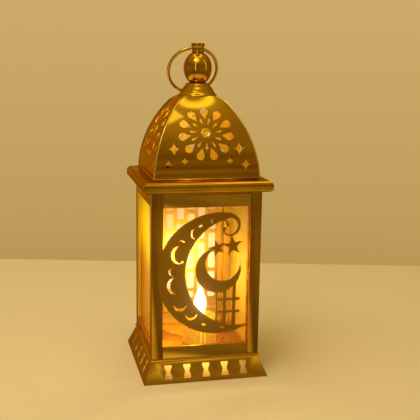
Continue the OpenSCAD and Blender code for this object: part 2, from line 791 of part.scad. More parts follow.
module hinge_door_leaves() {
    mid_z = knuckle_h + knuckle_gap;
    mid_h = hinge_h - 2 * mid_z;
    color("gold") difference() {
        each_hinge() difference() {
            union() {
                translate([inner - leaf_w, door_back, 0]) cube([leaf_w - door_gap, leaf_t, hinge_h]);
                translate([inner - leaf_w, door_back, mid_z]) cube([leaf_w - knuckle_gap, leaf_t, mid_h]);
                knuckle(mid_z, mid_h, knuckle_r);
            }
            knuckle(-over, over + mid_z, knuckle_r + air);
            knuckle(hinge_h - mid_z, over + mid_z, knuckle_r + air);
            knuckle(-over, hinge_h + 2 * over, pin_r + run);
        }
        each_rivet() translate([inner - rivet_in, door_back, 0]) rivet_bore();
    }
}
module hinge_pins() {
    color("silver") each_hinge() {
        knuckle(0, hinge_h, pin_r);
        knuckle(-pin_head_h, pin_head_h, pin_head_r);
        knuckle(hinge_h, pin_head_h, pin_head_r);
    }
}
module hinge_post_rivets() {
    color("gold") each_rivet() translate([inner + rivet_in, half, 0]) rivet();
}
module hinge_door_rivets() {
    color("gold") each_rivet() translate([inner - rivet_in, door_back, 0]) rivet();
}

// Catch: a bowed spring strip in a pocket of the left back post, beside the door's edge
catch_h = 12;
catch_w = 2;
catch_d = 1.4;
catch_t = 0.4;
catch_bow_r = 4;
catch_y = door_face + door_t / 2;
catch_at = [-inner - catch_d, catch_y - catch_w / 2, door_mid_z - catch_h / 2];
module catch_pocket() {
    translate(catch_at - [0, fit, fit])
        cube([catch_d + over, catch_w + 2 * fit, catch_h + 2 * fit]);
}
module door_catch() {
    color("silver") intersection() {
        translate(catch_at) cube([2 * catch_d, catch_w, catch_h]);
        union() {
            translate(catch_at) cube([catch_t, catch_w, catch_h]);
            translate([-door_half - air - fit - catch_bow_r, catch_y + catch_w / 2 + over, door_mid_z])
                rotate([90, 0, 0]) cylinder(r = catch_bow_r, h = catch_w + 2 * over);
        }
    }
}

// Candle: an electric one that stands loose on the tray, with its works in the case
candle_seat = 0.2;
candle_wall = 1.2;
cell_r = 10;
cell_h = 3.2;
works_r = cell_r + fit + carrier_wall;
case_bore = works_r + fit;
candle_r = case_bore + candle_wall;
flame_play = 0.2;
flame_hole_r = flame_r + flame_play;
cover_t = 2;
cover_slot = [12, 1.6, 0.8];
board_t = 1.2;
web_h = 3;
cell_z = cover_t + air;
web_z = cell_z + cell_h + air;
board_z = web_z + web_h;
lamp_z = board_z + board_t;
lamp_r = 2.5;
lamp_h = 8.6;
lamp_rim_r = 2.9;
lamp_rim_h = 1;
contact_r = 3.4;
contact_t = 0.4;
contact_pin_r = 0.8;
lug_w = 3;
lug_out = 0.45;
lug_z = 0.6;
lug_h = 0.8;
lug_turn = 45;
slider_size = [4.4, 2.2, 3.6];
slider_tip = [2.2, 1, 1.8];
slider_in = 0.9;
slider_z = lamp_z + air;
module at_candle() {
    translate([candle_x, candle_y, floor_z + candle_seat]) children();
}
module lugs(r, z, h, w) {
    intersection() {
        translate([0, 0, z]) cylinder(r = r, h = h);
        translate([-candle_r, -w / 2, z]) cube([2 * candle_r, w, h]);
    }
}
module candle_case() {
    tip_z = slider_z + (slider_size[2] - slider_tip[2]) / 2;
    slot_w = slider_tip[0] + switch_travel + 2 * air;
    color("gold") at_candle() difference() {
        cylinder(r = candle_r, h = candle_h);
        translate([0, 0, -over]) cylinder(r = case_bore, h = candle_h - candle_wall + over);
        cylinder(r = flame_hole_r, h = candle_h + over);
        translate([0, 0, lug_z - fit]) cylinder(r = case_bore + lug_out + fit, h = lug_h + 2 * fit);
        rotate(lug_turn) lugs(case_bore + lug_out + fit, -over, lug_z + lug_h + over, lug_w + 2 * fit);
        translate([-slot_w / 2, 0, tip_z - air]) cube([slot_w, candle_r + over, slider_tip[2] + 2 * air]);
    }
}
module battery_cover() {
    color("dimgray") at_candle() difference() {
        union() {
            cylinder(r = case_bore - run, h = cover_t);
            lugs(case_bore + lug_out, lug_z, lug_h, lug_w);
        }
        translate([-cover_slot[0] / 2, -cover_slot[1] / 2, -over])
            cube([cover_slot[0], cover_slot[1], cover_slot[2] + over]);
    }
}
module coin_cell() {
    color("silver") at_candle() translate([0, 0, cell_z]) cylinder(r = cell_r, h = cell_h);
}
module candle_carrier() {
    color("ivory") at_candle() difference() {
        translate([0, 0, cell_z]) cylinder(r = works_r, h = board_z - cell_z);
        translate([0, 0, cell_z - over]) cylinder(r = cell_r + fit, h = web_z - cell_z + over);
        cylinder(r = contact_r + air, h = board_z + over);
    }
}
module candle_contact() {
    color("silver") at_candle() {
        translate([0, 0, cell_z + cell_h]) cylinder(r = contact_r, h = contact_t);
        translate([0, 0, cell_z + cell_h]) cylinder(r = contact_pin_r, h = board_z - cell_z - cell_h);
    }
}
module candle_board() {
    color("seagreen") at_candle() translate([0, 0, board_z]) cylinder(r = works_r, h = board_t);
}
module candle_lamp() {
    color("orange") at_candle() translate([0, 0, lamp_z]) {
        cylinder(r = lamp_rim_r, h = lamp_rim_h);
        cylinder(r = lamp_r, h = lamp_h - lamp_r);
        translate([0, 0, lamp_h - lamp_r]) sphere(lamp_r);
    }
}

// The flame's foot is a flange under the case's top; its widest height is low down
flame_flange = 1.2;
flame_neck_share = 0.68;
flame_wide_share = 0.38;
flame_steps = 12;
flame_bore_r = lamp_r + air;
function flame_low(t) = [flame_r * lerp(flame_neck_share, 1, sin(90 * t)), flame_h * flame_wide_share * t];
function flame_high(t) = [flame_r * pow(cos(90 * t), 1.3), flame_h * lerp(flame_wide_share, 1, t)];
module candle_flame() {
    color("lightyellow") at_candle() translate([0, 0, candle_h]) difference() {
        rotate_extrude() polygon(concat(
            [[0, -candle_wall - flame_flange], [flame_hole_r + flame_flange, -candle_wall - flame_flange],
                [flame_hole_r + flame_flange, -candle_wall], [flame_r * flame_neck_share, -candle_wall]],
            [for (i = [0:flame_steps]) flame_low(i / flame_steps)],
            [for (i = [1:flame_steps - 1]) flame_high(i / flame_steps)], [[0, flame_h]]));
        translate([0, 0, -candle_h]) cylinder(r = flame_bore_r, h = candle_h + 2 * flame_flange);
    }
}
module switch_slider() {
    tip_len = slider_size[1] / 2 + slider_in + candle_wall + slider_tip[1];
    place = [-switch_travel / 2, case_bore - slider_in - slider_size[1], slider_z];
    color("black") at_candle() translate(place) {
        translate([-slider_size[0] / 2, 0, 0]) cube(slider_size);
        translate([-slider_tip[0] / 2, slider_size[1] / 2, (slider_size[2] - slider_tip[2]) / 2])
            cube([slider_tip[0], tip_len, slider_tip[2]]);
    }
}

base_skirt();
floor_tray();
post_front_left();
post_front_right();
post_back_left();
post_back_right();
front_top_rail();
front_bottom_rail();
left_top_rail();
left_bottom_rail();
right_top_rail();
right_bottom_rail();
back_top_rail();
back_bottom_rail();
front_pane();
left_pane();
right_pane();
moon_ornament();
roof_plate();
eave_moulding();
dome_front();
dome_left();
dome_back();
dome_right();
dome_rosettes();
dome_top_plate();
finial_collar();
finial_egg();
finial_cap();
finial_rod();
finial_washer();
finial_nut();
carry_ring();
base_screws();
roof_screws();
door_frame();
door_lattice();
door_pane();
door_knob();
hinge_post_leaves();
hinge_door_leaves();
hinge_pins();
hinge_post_rivets();
hinge_door_rivets();
door_catch();
candle_case();
candle_flame();
candle_lamp();
candle_board();
candle_carrier();
candle_contact();
coin_cell();
switch_slider();
battery_cover();
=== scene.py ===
"""A small square lantern in polished gold, with a crescent front, clear panes and a lit electric candle.

Each sub-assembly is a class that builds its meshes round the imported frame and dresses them.
Lengths are metres, except where a name ends in _mm.
"""
import logging
import math
from dataclasses import dataclass, field
from enum import Enum
from typing import Any, Iterable, Sequence

import bmesh
import bpy
from mathutils import Matrix, Vector, geometry


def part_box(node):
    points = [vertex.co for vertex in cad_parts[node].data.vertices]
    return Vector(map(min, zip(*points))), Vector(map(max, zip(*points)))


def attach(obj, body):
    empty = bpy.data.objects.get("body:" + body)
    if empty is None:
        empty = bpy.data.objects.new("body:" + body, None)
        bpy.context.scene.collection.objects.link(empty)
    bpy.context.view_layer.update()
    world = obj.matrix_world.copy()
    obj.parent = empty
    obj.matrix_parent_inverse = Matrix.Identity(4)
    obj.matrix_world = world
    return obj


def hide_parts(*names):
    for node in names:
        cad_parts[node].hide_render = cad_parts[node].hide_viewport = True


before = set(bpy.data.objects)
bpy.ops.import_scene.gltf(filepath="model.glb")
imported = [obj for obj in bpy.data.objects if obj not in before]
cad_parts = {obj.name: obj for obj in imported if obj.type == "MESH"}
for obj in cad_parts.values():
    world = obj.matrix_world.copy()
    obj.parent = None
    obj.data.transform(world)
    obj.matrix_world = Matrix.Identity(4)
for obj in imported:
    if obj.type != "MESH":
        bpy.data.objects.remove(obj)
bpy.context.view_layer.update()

LOG = logging.getLogger("lantern")
MM = 0.001
ORIGIN = (0.0, 0.0, 0.0)

# Two directions whose cosine is above this count as one.
SAME_WAY = 0.9
# Points of a new mesh, and corners of a CAD mesh, that are this near each other are one.
CLOSE = 1e-7
CAD_CORNER = 2e-6
# A CAD face this near a plane lies on it, and one bent by fewer degrees than this is flat.
CAD_PLANE = 1e-5
FLAT_DEGREES = 0.4

Colour = tuple[float, float, float]
Point = Sequence[float]


def placed(place: Point = ORIGIN, degrees: float = 0.0, axis: str = "Z") -> Matrix:
    """Return the matrix that turns about an axis and then moves to a place."""
    return Matrix.Translation(place) @ Matrix.Rotation(math.radians(degrees), 4, axis)


class Side(Enum):
    """The four sides of the body, as turns about the upright axis in degrees."""

    FRONT = 0
    RIGHT = 90
    BACK = 180
    LEFT = 270

    def turn(self) -> Matrix:
        """Return the turn that takes the front to this side."""
        return placed(degrees=self.value)


class Grain(Enum):
    """How a metal surface was worked, as the stretch of its fine marks along X, Y and Z."""

    ROLLED = (30.0, 30.0, 900.0)
    DRAWN = (900.0, 900.0, 14.0)
    SPUN = (60.0, 60.0, 1500.0)
    CUT = (400.0, 400.0, 400.0)


def emptied(owner: bpy.types.ID) -> bpy.types.NodeTree:
    """Empty the node tree of a material, the world or the scene.

    Args:
        owner: what the tree belongs to.

    Returns:
        The tree, with no node in it.
    """
    owner.use_nodes = True
    owner.node_tree.nodes.clear()
    return owner.node_tree


class Value:
    """A node's output that Python's own operators can work on."""

    def __init__(self, tree: "Tree", socket: bpy.types.NodeSocket) -> None:
        """Keep the socket and the tree that it belongs to."""
        self.tree = tree
        self.socket = socket

    def math(self, operation: str, *others: Any) -> "Value":
        """Add a Math node with this value first."""
        return self.tree.node("ShaderNodeMath", {"operation": operation}, dict(enumerate([self, *others])))

    def __add__(self, other: Any) -> "Value":
        """Return self + other."""
        return self.math("ADD", other)

    __radd__ = __add__

    def __sub__(self, other: Any) -> "Value":
        """Return self - other."""
        return self.math("SUBTRACT", other)

    def __rsub__(self, other: float) -> "Value":
        """Return other - self."""
        return self.math("MULTIPLY_ADD", -1.0, other)

    def __mul__(self, other: Any) -> "Value":
        """Return self * other."""
        return self.math("MULTIPLY", other)

    __rmul__ = __mul__

    def __truediv__(self, other: Any) -> "Value":
        """Return self / other."""
        return self.math("DIVIDE", other)

    def __pow__(self, other: Any) -> "Value":
        """Return self ** other."""
        return self.math("POWER", other)

    def __abs__(self) -> "Value":
        """Return abs(self)."""
        return self.math("ABSOLUTE")


class Tree:
    """A node tree that is written as Python expressions."""

    def __init__(self, group: bpy.types.NodeTree) -> None:
        """Keep the tree that the nodes go into."""
        self.group = group

    def node(self, kind: str, settings: dict[str, Any] | None = None,
             inputs: dict[int | str, Any] | None = None, output: int | str = 0) -> Value:
        """Add one node.

        Args:
            kind: the node's type.
            settings: its own settings, with a ramp's stops as "stops".
            inputs: values, or Values to link, by socket name or number.
            output: the socket to return.

        Returns:
            The chosen output.
        """
        made = self.group.nodes.new(kind)
        for name, value in (settings or {}).items():
            if name == "stops":
                self._set_stops(made.color_ramp, value)
            else:
                setattr(made, name, value)
        for name, value in (inputs or {}).items():
            for single in value if isinstance(value, list) else [value]:
                if isinstance(single, Value):
                    self.group.links.new(single.socket, made.inputs[name])
                else:
                    made.inputs[name].default_value = single
        return Value(self, made.outputs[output])

    def end(self, kind: str, result: Value) -> None:
        """Add the output node and link the tree's result to it."""
        self.group.links.new(result.socket, self.group.nodes.new(kind).inputs[0])

    @staticmethod
    def _set_stops(ramp: bpy.types.ColorRamp, stops: Sequence[tuple[float, Any]]) -> None:
        """Give a colour ramp its stops.

        Args:
            ramp: the ramp.
            stops: each stop's place and its grey or colour.
        """
        while len(ramp.elements) < len(stops):
            ramp.elements.new(1.0)
        for element, (place, colour) in zip(ramp.elements, stops):
            element.position = place
            element.color = (*(colour if isinstance(colour, tuple) else [colour] * 3), 1.0)

    def ramp(self, value: Value, *stops: tuple[float, Any]) -> Value:
        """Return a ramp of greys or colours along a value."""
        return self.node("ShaderNodeValToRGB", {"stops": stops}, {0: value})

    def blend(self, share: Value | float, first: Value | Colour, second: Value | Colour) -> Value:
        """Return a colour between two colours."""
        ends = [end if isinstance(end, Value) else (*end, 1.0) for end in (first, second)]
        return self.node("ShaderNodeMix", {"data_type": "RGBA"}, {0: share, 6: ends[0], 7: ends[1]}, 2)

    def axis(self, vector: Value, name: str) -> Value:
        """Return one coordinate of a vector, X, Y or Z."""
        return self.node("ShaderNodeSeparateXYZ", {}, {0: vector}, name)


class SurfaceTree(Tree):
    """The shader of one finish."""

    def __init__(self, name: str) -> None:
        """Start an empty material with the object's own coordinates.

        Args:
            name: the material's name.
        """
        self.material = bpy.data.materials.new(name)
        super().__init__(emptied(self.material))
        self.place = self.node("ShaderNodeTexCoord", output="Object")

    def stretched(self, scale: Point) -> Value:
        """Return the coordinates stretched along the three axes."""
        return self.node("ShaderNodeMapping", {}, {"Vector": self.place, "Scale": tuple(scale)})

    def noise(self, scale: float, detail: float = 3.0, vector: Value | None = None) -> Value:
        """Return smooth noise from 0 to 1."""
        inputs = {"Vector": vector or self.place, "Scale": scale, "Detail": detail}
        return self.node("ShaderNodeTexNoise", {}, inputs)

    def bump(self, height: Value, depth_mm: float) -> Value:
        """Return the normal of a rough surface, with its depth in millimetres."""
        return self.node("ShaderNodeBump", {}, {"Height": height, "Distance": depth_mm * MM})

    def distance(self, centre: Point) -> Value:
        """Return the distance from a point."""
        ends = {0: self.place, 1: tuple(centre)}
        return self.node("ShaderNodeVectorMath", {"operation": "DISTANCE"}, ends, 1)

    def close(self, **sockets: Any) -> bpy.types.Material:
        """Add the surface itself and link it to the output.

        Args:
            sockets: the Principled shader's inputs, with an underscore for each space.

        Returns:
            The finished material.
        """
        inputs = {name.replace("_", " "): value for name, value in sockets.items()}
        self.end("ShaderNodeOutputMaterial", self.node("ShaderNodeBsdfPrincipled", {}, inputs))
        return self.material


def shaded(colour: Colour, share: float) -> Colour:
    """Return a colour made darker."""
    return tuple(channel * share for channel in colour)


@dataclass(frozen=True)
class GoldFinish:
    """Polished gold metal with faint smudges and the fine marks of its making, and in some finishes a painted
    glow.
    """

    name: str
    colour: Colour
    deep: Colour
    roughness: float
    grain: Grain
    marks_mm: float = 0.004
    # Strength of a painted glow: emission that stands in for the candle's light on the metal, though the
    # metal is no lamp.
    painted_glow: float = 0.0
    smudge_scale: float = 42.0
    cloud_scale: float = 14.0
    pit_scale: float = 1400.0
    edge_tint: tuple[float, float, float, float] = (0.85, 0.50, 0.07, 1.0)
    # The painted glow's two colours, mixed along the marks.
    bright_painted_glow: Colour = (0.95, 0.60, 0.02)
    deep_painted_glow: Colour = (0.55, 0.31, 0.006)

    def material(self) -> bpy.types.Material:
        """Build the material.

        Returns:
            The finished material.
        """
        tree = SurfaceTree(self.name)
        smudge = tree.noise(self.smudge_scale, 4.0)
        cloud = tree.noise(self.cloud_scale, 2.0)
        lines = tree.noise(1.0, 2.0, tree.stretched(self.grain.value))
        pits = tree.noise(self.pit_scale, 1.0)
        tone = tree.ramp(cloud * 0.7 + smudge * 0.3, (0.35, 0.0), (0.65, 1.0))
        # Where the painted glow takes its brighter colour, along the marks.
        lit = tree.ramp(lines, (0.3, 0.0), (0.7, 1.0))
        return tree.close(
            Base_Color=tree.blend(tone, self.colour, self.deep),
            Metallic=1.0,
            Specular_Tint=self.edge_tint,
            Roughness=self.roughness + (smudge - 0.5) * 0.16 + (lines - 0.5) * 0.10,
            Emission_Color=tree.blend(lit, self.bright_painted_glow, self.deep_painted_glow),
            Emission_Strength=self.painted_glow,
            Normal=tree.bump(lines * 0.7 + pits * 0.3, self.marks_mm),
        )


@dataclass(frozen=True)
class SteelFinish:
    """Zinc-plated or rolled steel."""

    name: str
    colour: Colour
    roughness: float
    crystal_scale: float = 320.0
    crystal_mm: float = 0.004

    def material(self) -> bpy.types.Material:
        """Build the material.

        Returns:
            The finished material.
        """
        tree = SurfaceTree(self.name)
        crystals = tree.noise(self.crystal_scale, 2.0)
        tone = tree.ramp(crystals, (0.4, 0.0), (0.6, 1.0))
        return tree.close(
            Base_Color=tree.blend(tone, self.colour, shaded(self.colour, 0.8)),
            Metallic=1.0,
            Roughness=self.roughness + (crystals - 0.5) * 0.2,
            Normal=tree.bump(crystals, self.crystal_mm),
        )


@dataclass(frozen=True)
class PlasticFinish:
    """Moulded plastic with a fine texture."""

    name: str
    colour: Colour
    roughness: float
    texture_scale: float = 900.0
    texture_mm: float = 0.008
    flow_scale: float = 30.0

    def material(self) -> bpy.types.Material:
        """Build the material.

        Returns:
            The finished material.
        """
        tree = SurfaceTree(self.name)
        texture = tree.noise(self.texture_scale, 2.0)
        flow = tree.noise(self.flow_scale, 2.0)
        return tree.close(
            Base_Color=tree.blend(flow, self.colour, shaded(self.colour, 0.86)),
            Roughness=self.roughness + (flow - 0.5) * 0.12,
            Normal=tree.bump(texture, self.texture_mm),
        )


@dataclass(frozen=True)
class PaneFinish:
    """A coloured or clear pane, with a painted glow of the candle's light in it, brightest near a centre and
    streaked.
    """

    name: str
    colour: Colour
    cover: float
    painted_glow: Colour
    painted_glow_centre: Point
    painted_glow_reach: float
    painted_glow_strength: float
    streak: float = 0.0
    streak_stretch: Point = (150.0, 150.0, 4.0)
    wave_scale: float = 60.0
    wave_mm: float = 0.03
    painted_glow_fade: float = 1.6

    def material(self) -> bpy.types.Material:
        """Build the material.

        Returns:
            The finished material.
        """
        tree = SurfaceTree(self.name)
        ripple = tree.noise(1.0, 3.0, tree.stretched(self.streak_stretch))
        waves = tree.noise(self.wave_scale, 2.0)
        # The painted glow fades with distance from its centre and is streaked along the ripples.
        near = 1.0 - tree.distance(self.painted_glow_centre) / self.painted_glow_reach
        near = tree.node("ShaderNodeClamp", {}, {0: near})
        streaks = tree.ramp(ripple, (0.38, 0.0), (0.62, 1.0))
        painted_glow = near ** self.painted_glow_fade * (1.0 + (streaks - 0.5) * self.streak)
        edge = tree.node("ShaderNodeLayerWeight", {}, {"Blend": 0.28}, "Fresnel")
        return tree.close(
            Base_Color=tree.blend(ripple, self.colour, shaded(self.colour, 0.82)),
            Roughness=0.06 + waves * 0.05,
            IOR=1.5,
            Alpha=self.cover + edge * (1.0 - self.cover) * 0.6,
            Emission_Color=tree.blend(painted_glow, (0.0, 0.0, 0.0), self.painted_glow),
            Emission_Strength=self.painted_glow_strength,
            Normal=tree.bump(waves, self.wave_mm),
        )


@dataclass(frozen=True)
class FlameFinish:
    """Frosted plastic lit from inside, hottest a third of the way up."""

    name: str
    low: float
    high: float
    strength: float
    edge_cover: float = 0.04
    wisp_scale: float = 260.0
    frost: Colour = (1.0, 0.88, 0.66)
    edge_colour: Colour = (1.0, 0.50, 0.10)
    colours: Sequence[tuple[float, Colour]] = (
        (0.0, (1.0, 0.42, 0.08)), (0.16, (1.0, 0.78, 0.38)), (0.40, (1.0, 0.93, 0.74)),
        (0.78, (1.0, 0.80, 0.42)), (1.0, (1.0, 0.52, 0.14)))

    def material(self) -> bpy.types.Material:
        """Build the material.

        Returns:
            The finished material.
        """
        tree = SurfaceTree(self.name)
        rise = (tree.axis(tree.place, "Z") - self.low) / (self.high - self.low)
        wisps = tree.noise(self.wisp_scale, 2.0)
        colour = tree.ramp(rise + (wisps - 0.5) * 0.08, *self.colours)
        facing = 1.0 - tree.node("ShaderNodeLayerWeight", {}, {"Blend": 0.5}, "Facing")
        core = tree.ramp(facing, (0.0, 0.0), (0.7, 1.0))
        return tree.close(
            Base_Color=(*self.frost, 1.0),
            Roughness=0.45 + (wisps - 0.5) * 0.1,
            Alpha=tree.ramp(facing, (0.0, self.edge_cover), (0.75, 1.0)),
            Emission_Color=tree.blend(core, self.edge_colour, colour),
            Emission_Strength=self.strength,
        )


GOLD = (0.74, 0.43, 0.035)
DEEP_GOLD = (0.58, 0.30, 0.018)
PALE_GOLD = (0.90, 0.60, 0.10)
BRIGHT_GOLD = (1.0, 0.80, 0.26)
BRONZE = (0.46, 0.235, 0.014)
# Amber colour and cover given to the clear side panes, brighter on the left than the right: painted candle
# light.
PAINTED_AMBER_LIGHT = (1.0, 0.54, 0.02)
DIM_PAINTED_AMBER_LIGHT = (0.72, 0.44, 0.02)
MILK = (0.90, 0.86, 0.76)
FLAME_PLACE = (3.0 * MM, -5.0 * MM, 47.0 * MM)
# Centre of the painted glow on the side panes.
SIDE_PAINTED_GLOW_CENTRE = (0.0, 8.0 * MM, 106.0 * MM)

FINISHES = {
    "profile": GoldFinish("profile_gold", GOLD, BRONZE, 0.12, Grain.DRAWN, 0.002),
    "rail": GoldFinish("rail_gold", PALE_GOLD, GOLD, 0.15, Grain.ROLLED, 0.002),
    # A paler copy of the profile gold with a painted glow, for faces towards the candle: painted candle
    # light.
    "painted_glow_profile": GoldFinish("painted_glow_profile_gold", PALE_GOLD, GOLD, 0.38, Grain.DRAWN, 0.004, 0.20),
    "sheet": GoldFinish("sheet_gold", GOLD, DEEP_GOLD, 0.09, Grain.ROLLED, 0.002),
    "moulding": GoldFinish("moulding_gold", GOLD, BRONZE, 0.12, Grain.ROLLED, 0.003),
    # The tray's faint painted glow stands in for the candle's light on it.
    "tray": GoldFinish("tray_painted_glow_gold", (0.88, 0.68, 0.09), PALE_GOLD, 0.20, Grain.CUT, 0.001, 0.03),
    # Paler, rougher gold with a painted glow for the dome's inner faces: painted candle light.
    "inside": GoldFinish("inside_painted_glow_gold", PALE_GOLD, GOLD, 0.50, Grain.CUT, 0.004, 0.24),
    # Brighter gold with a faint painted glow on the dome's cut walls: a painted highlight.
    "rim": GoldFinish("rim_painted_highlight_gold", BRIGHT_GOLD, PALE_GOLD, 0.22, Grain.CUT, 0.0005, 0.03),
    # A paler copy of the fretwork gold with a faint painted glow, for the lattice that faces the candle:
    # painted candle light.
    "lattice": GoldFinish("lattice_painted_glow_gold", PALE_GOLD, GOLD, 0.42, Grain.CUT, 0.0005, 0.03),
    "skirt": GoldFinish("skirt_gold", GOLD, DEEP_GOLD, 0.40, Grain.CUT, 0.003),
    "fretwork": GoldFinish("fretwork_gold", GOLD, DEEP_GOLD, 0.30, Grain.CUT, 0.0008),
    # A faint painted glow on the bosses.
    "boss": GoldFinish("boss_painted_glow_gold", BRIGHT_GOLD, PALE_GOLD, 0.26, Grain.CUT, 0.001, 0.06),
    "turned": GoldFinish("turned_gold", GOLD, DEEP_GOLD, 0.09, Grain.SPUN, 0.002),
    "wire": GoldFinish("wire_gold", PALE_GOLD, GOLD, 0.17, Grain.CUT, 0.001),
    # Brighter gold with a faint painted glow on the beads: a painted highlight along the hips.
    "seam": GoldFinish("seam_painted_highlight_gold", BRIGHT_GOLD, PALE_GOLD, 0.20, Grain.CUT, 0.0005, 0.04),
    "hinge": GoldFinish("hinge_brass", (0.70, 0.42, 0.10), DEEP_GOLD, 0.30, Grain.CUT),
    # The candle case's painted glow stands in for the flame's light on it; the case is no lamp.
    "candle": GoldFinish("candle_gold", PALE_GOLD, GOLD, 0.42, Grain.CUT, 0.002, 0.42),
    "zinc": SteelFinish("zinc_steel", (0.62, 0.62, 0.60), 0.34),
    "cell": SteelFinish("cell_steel", (0.74, 0.74, 0.72), 0.24),
    "clear": PaneFinish("clear_glass", (1.0, 0.86, 0.60), 0.03, (1.0, 0.62, 0.16), FLAME_PLACE, 0.05, 0.05),
    "left": PaneFinish("left_glass", PAINTED_AMBER_LIGHT, 0.46, (1.0, 0.84, 0.012), SIDE_PAINTED_GLOW_CENTRE, 0.054, 4.0, 0.9),
    "right": PaneFinish("right_glass", DIM_PAINTED_AMBER_LIGHT, 0.62, (1.0, 0.74, 0.012), SIDE_PAINTED_GLOW_CENTRE, 0.054, 0.45, 0.9),
    "milk": PaneFinish("milk_pane", MILK, 0.97, (1.0, 0.92, 0.72), FLAME_PLACE, 0.17, 0.25, 0.2),
    "flame": FlameFinish("flame", 34.3 * MM, 61.0 * MM, 4.5),
    "lamp": FlameFinish("lamp", 26.0 * MM, 36.0 * MM, 4.0, 1.0),
    "board": PlasticFinish("board_green", (0.03, 0.16, 0.05), 0.35),
    "carrier": PlasticFinish("carrier_ivory", (0.78, 0.72, 0.58), 0.45),
    "black": PlasticFinish("black_plastic", (0.02, 0.02, 0.02), 0.45),
    "cover": PlasticFinish("cover_plastic", (0.035, 0.03, 0.028), 0.5),
}
BUILT: dict[str, bpy.types.Material] = {}


def finish(name: str) -> bpy.types.Material:
    """Build the material of a finish the first time it is asked for.

    Args:
        name: the finish's name in the table.

    Returns:
        The material.
    """
    if name not in BUILT:
        BUILT[name] = FINISHES[name].material()
    return BUILT[name]


class GeometryTree(Tree):
    """A Geometry Nodes tree with named inputs that ends in a plain mesh."""

    def __init__(self, name: str) -> None:
        """Start an empty tree with its input node.

        Args:
            name: the tree's name.
        """
        super().__init__(bpy.data.node_groups.new(name, "GeometryNodeTree"))
        self.group.interface.new_socket("Geometry", in_out="OUTPUT", socket_type="NodeSocketGeometry")
        self.start = self.group.nodes.new("NodeGroupInput")
        self.sizes: dict[str, float | int] = {}

    def size(self, name: str, value: float | int) -> Value:
        """Add a named input, a whole number where the value is one.

        Args:
            name: the input's name.
            value: what the modifier sets it to.

        Returns:
            The input's value inside the tree.
        """
        kind = "NodeSocketInt" if isinstance(value, int) else "NodeSocketFloat"
        socket = self.group.interface.new_socket(name, in_out="INPUT", socket_type=kind)
        self.sizes[socket.identifier] = value
        return Value(self, self.start.outputs[name])

    def vector(self, x: Any = 0.0, y: Any = 0.0, z: Any = 0.0) -> Value:
        """Return a vector of three values."""
        return self.node("ShaderNodeCombineXYZ", {}, {0: x, 1: y, 2: z})

    def coordinates(self) -> tuple[Value, Value, Value]:
        """Return the three coordinates of the point that a field is worked out at."""
        split = self.node("ShaderNodeSeparateXYZ", {}, {0: self.node("GeometryNodeInputPosition")})
        return tuple(Value(self, socket) for socket in split.socket.node.outputs)

    def prism(self, corners: int, radius: float, depth: float = 8 * MM) -> Value:
        """Return a prism round the Z axis."""
        inputs = {"Vertices": corners, "Radius": radius, "Depth": depth}
        return self.node("GeometryNodeMeshCylinder", {"fill_type": "NGON"}, inputs)

    def grid(self, width: float, height: float, columns: int, rows: int) -> Value:
        """Return a flat grid."""
        inputs = {"Size X": width, "Size Y": height, "Vertices X": columns, "Vertices Y": rows}
        return self.node("GeometryNodeMeshGrid", {}, inputs)

    def line(self, start: Point, end: Point) -> Value:
        """Return a straight line."""
        return self.node("GeometryNodeCurvePrimitiveLine", {}, {"Start": start, "End": end})

    def circle(self, radius: Value, corners: int = 12) -> Value:
        """Return a round outline."""
        return self.node("GeometryNodeCurvePrimitiveCircle", {}, {"Resolution": corners, "Radius": radius})

    def rectangle(self, width: Any, height: Any) -> Value:
        """Return a rectangular outline."""
        return self.node("GeometryNodeCurvePrimitiveQuadrilateral", {}, {"Width": width, "Height": height})

    def drawn_along(self, path: Value, outline: Value, caps: bool = False) -> Value:
        """Return an outline drawn along a path."""
        inputs = {"Curve": path, "Profile Curve": outline, "Fill Caps": caps}
        return self.node("GeometryNodeCurveToMesh", {}, inputs)

    def moved(self, shape: Value, position: Value) -> Value:
        """Return a shape whose points have a new position."""
        return self.node("GeometryNodeSetPosition", {}, {"Geometry": shape, "Position": position})

    def set_in(self, shape: Value, shift: Any = ORIGIN, turn: Any = ORIGIN) -> Value:
        """Return a shape moved and turned as a whole."""
        inputs = {"Geometry": shape, "Translation": shift, "Rotation": turn}
        return self.node("GeometryNodeTransform", {}, inputs)

    def copies(self, points: Value, shape: Value, turn: Any = ORIGIN) -> Value:
        """Put real copies of a shape on a set of points.

        Args:
            points: the points.
            shape: what is copied.
            turn: how each copy is turned.

        Returns:
            The copies.
        """
        inputs = {"Points": points, "Instance": shape, "Rotation": turn}
        placed_copies = self.node("GeometryNodeInstanceOnPoints", {}, inputs)
        return self.node("GeometryNodeRealizeInstances", {}, {0: placed_copies})

    def joined(self, *shapes: Value) -> Value:
        """Return several shapes as one."""
        return self.node("GeometryNodeJoinGeometry", {}, {0: list(shapes)})

    def cut(self, shape: Value, *tools: Value) -> Value:
        """Return a shape with tools cut out of it."""
        inputs = {"Mesh 1": shape, "Mesh 2": list(tools)}
        return self.node("GeometryNodeMeshBoolean", {"operation": "DIFFERENCE", "solver": "EXACT"}, inputs)

    def mesh(self, shape: Value, look: str) -> bpy.types.Mesh:
        """End the tree in a shape and turn it into a plain mesh.

        Args:
            shape: what the tree makes.
            look: the name of its finish.

        Returns:
            The mesh, with no modifier left.
        """
        real = self.node("GeometryNodeRealizeInstances", {}, {0: shape})
        dressed = self.node("GeometryNodeSetMaterial", {}, {"Geometry": real, "Material": finish(look)})
        self.end("NodeGroupOutput", dressed)
        holder = linked(self.group.name, bpy.data.meshes.new(self.group.name))
        modifier = holder.modifiers.new("make", "NODES")
        modifier.node_group = self.group
        for identifier, value in self.sizes.items():
            modifier[identifier] = value
        return plain(holder)


def linked(name: str, data: bpy.types.ID) -> bpy.types.Object:
    """Put a new object into the scene.

    Args:
        name: the object's name.
        data: its mesh, lamp or camera.

    Returns:
        The object.
    """
    made = bpy.data.objects.new(name, data)
    bpy.context.scene.collection.objects.link(made)
    return made


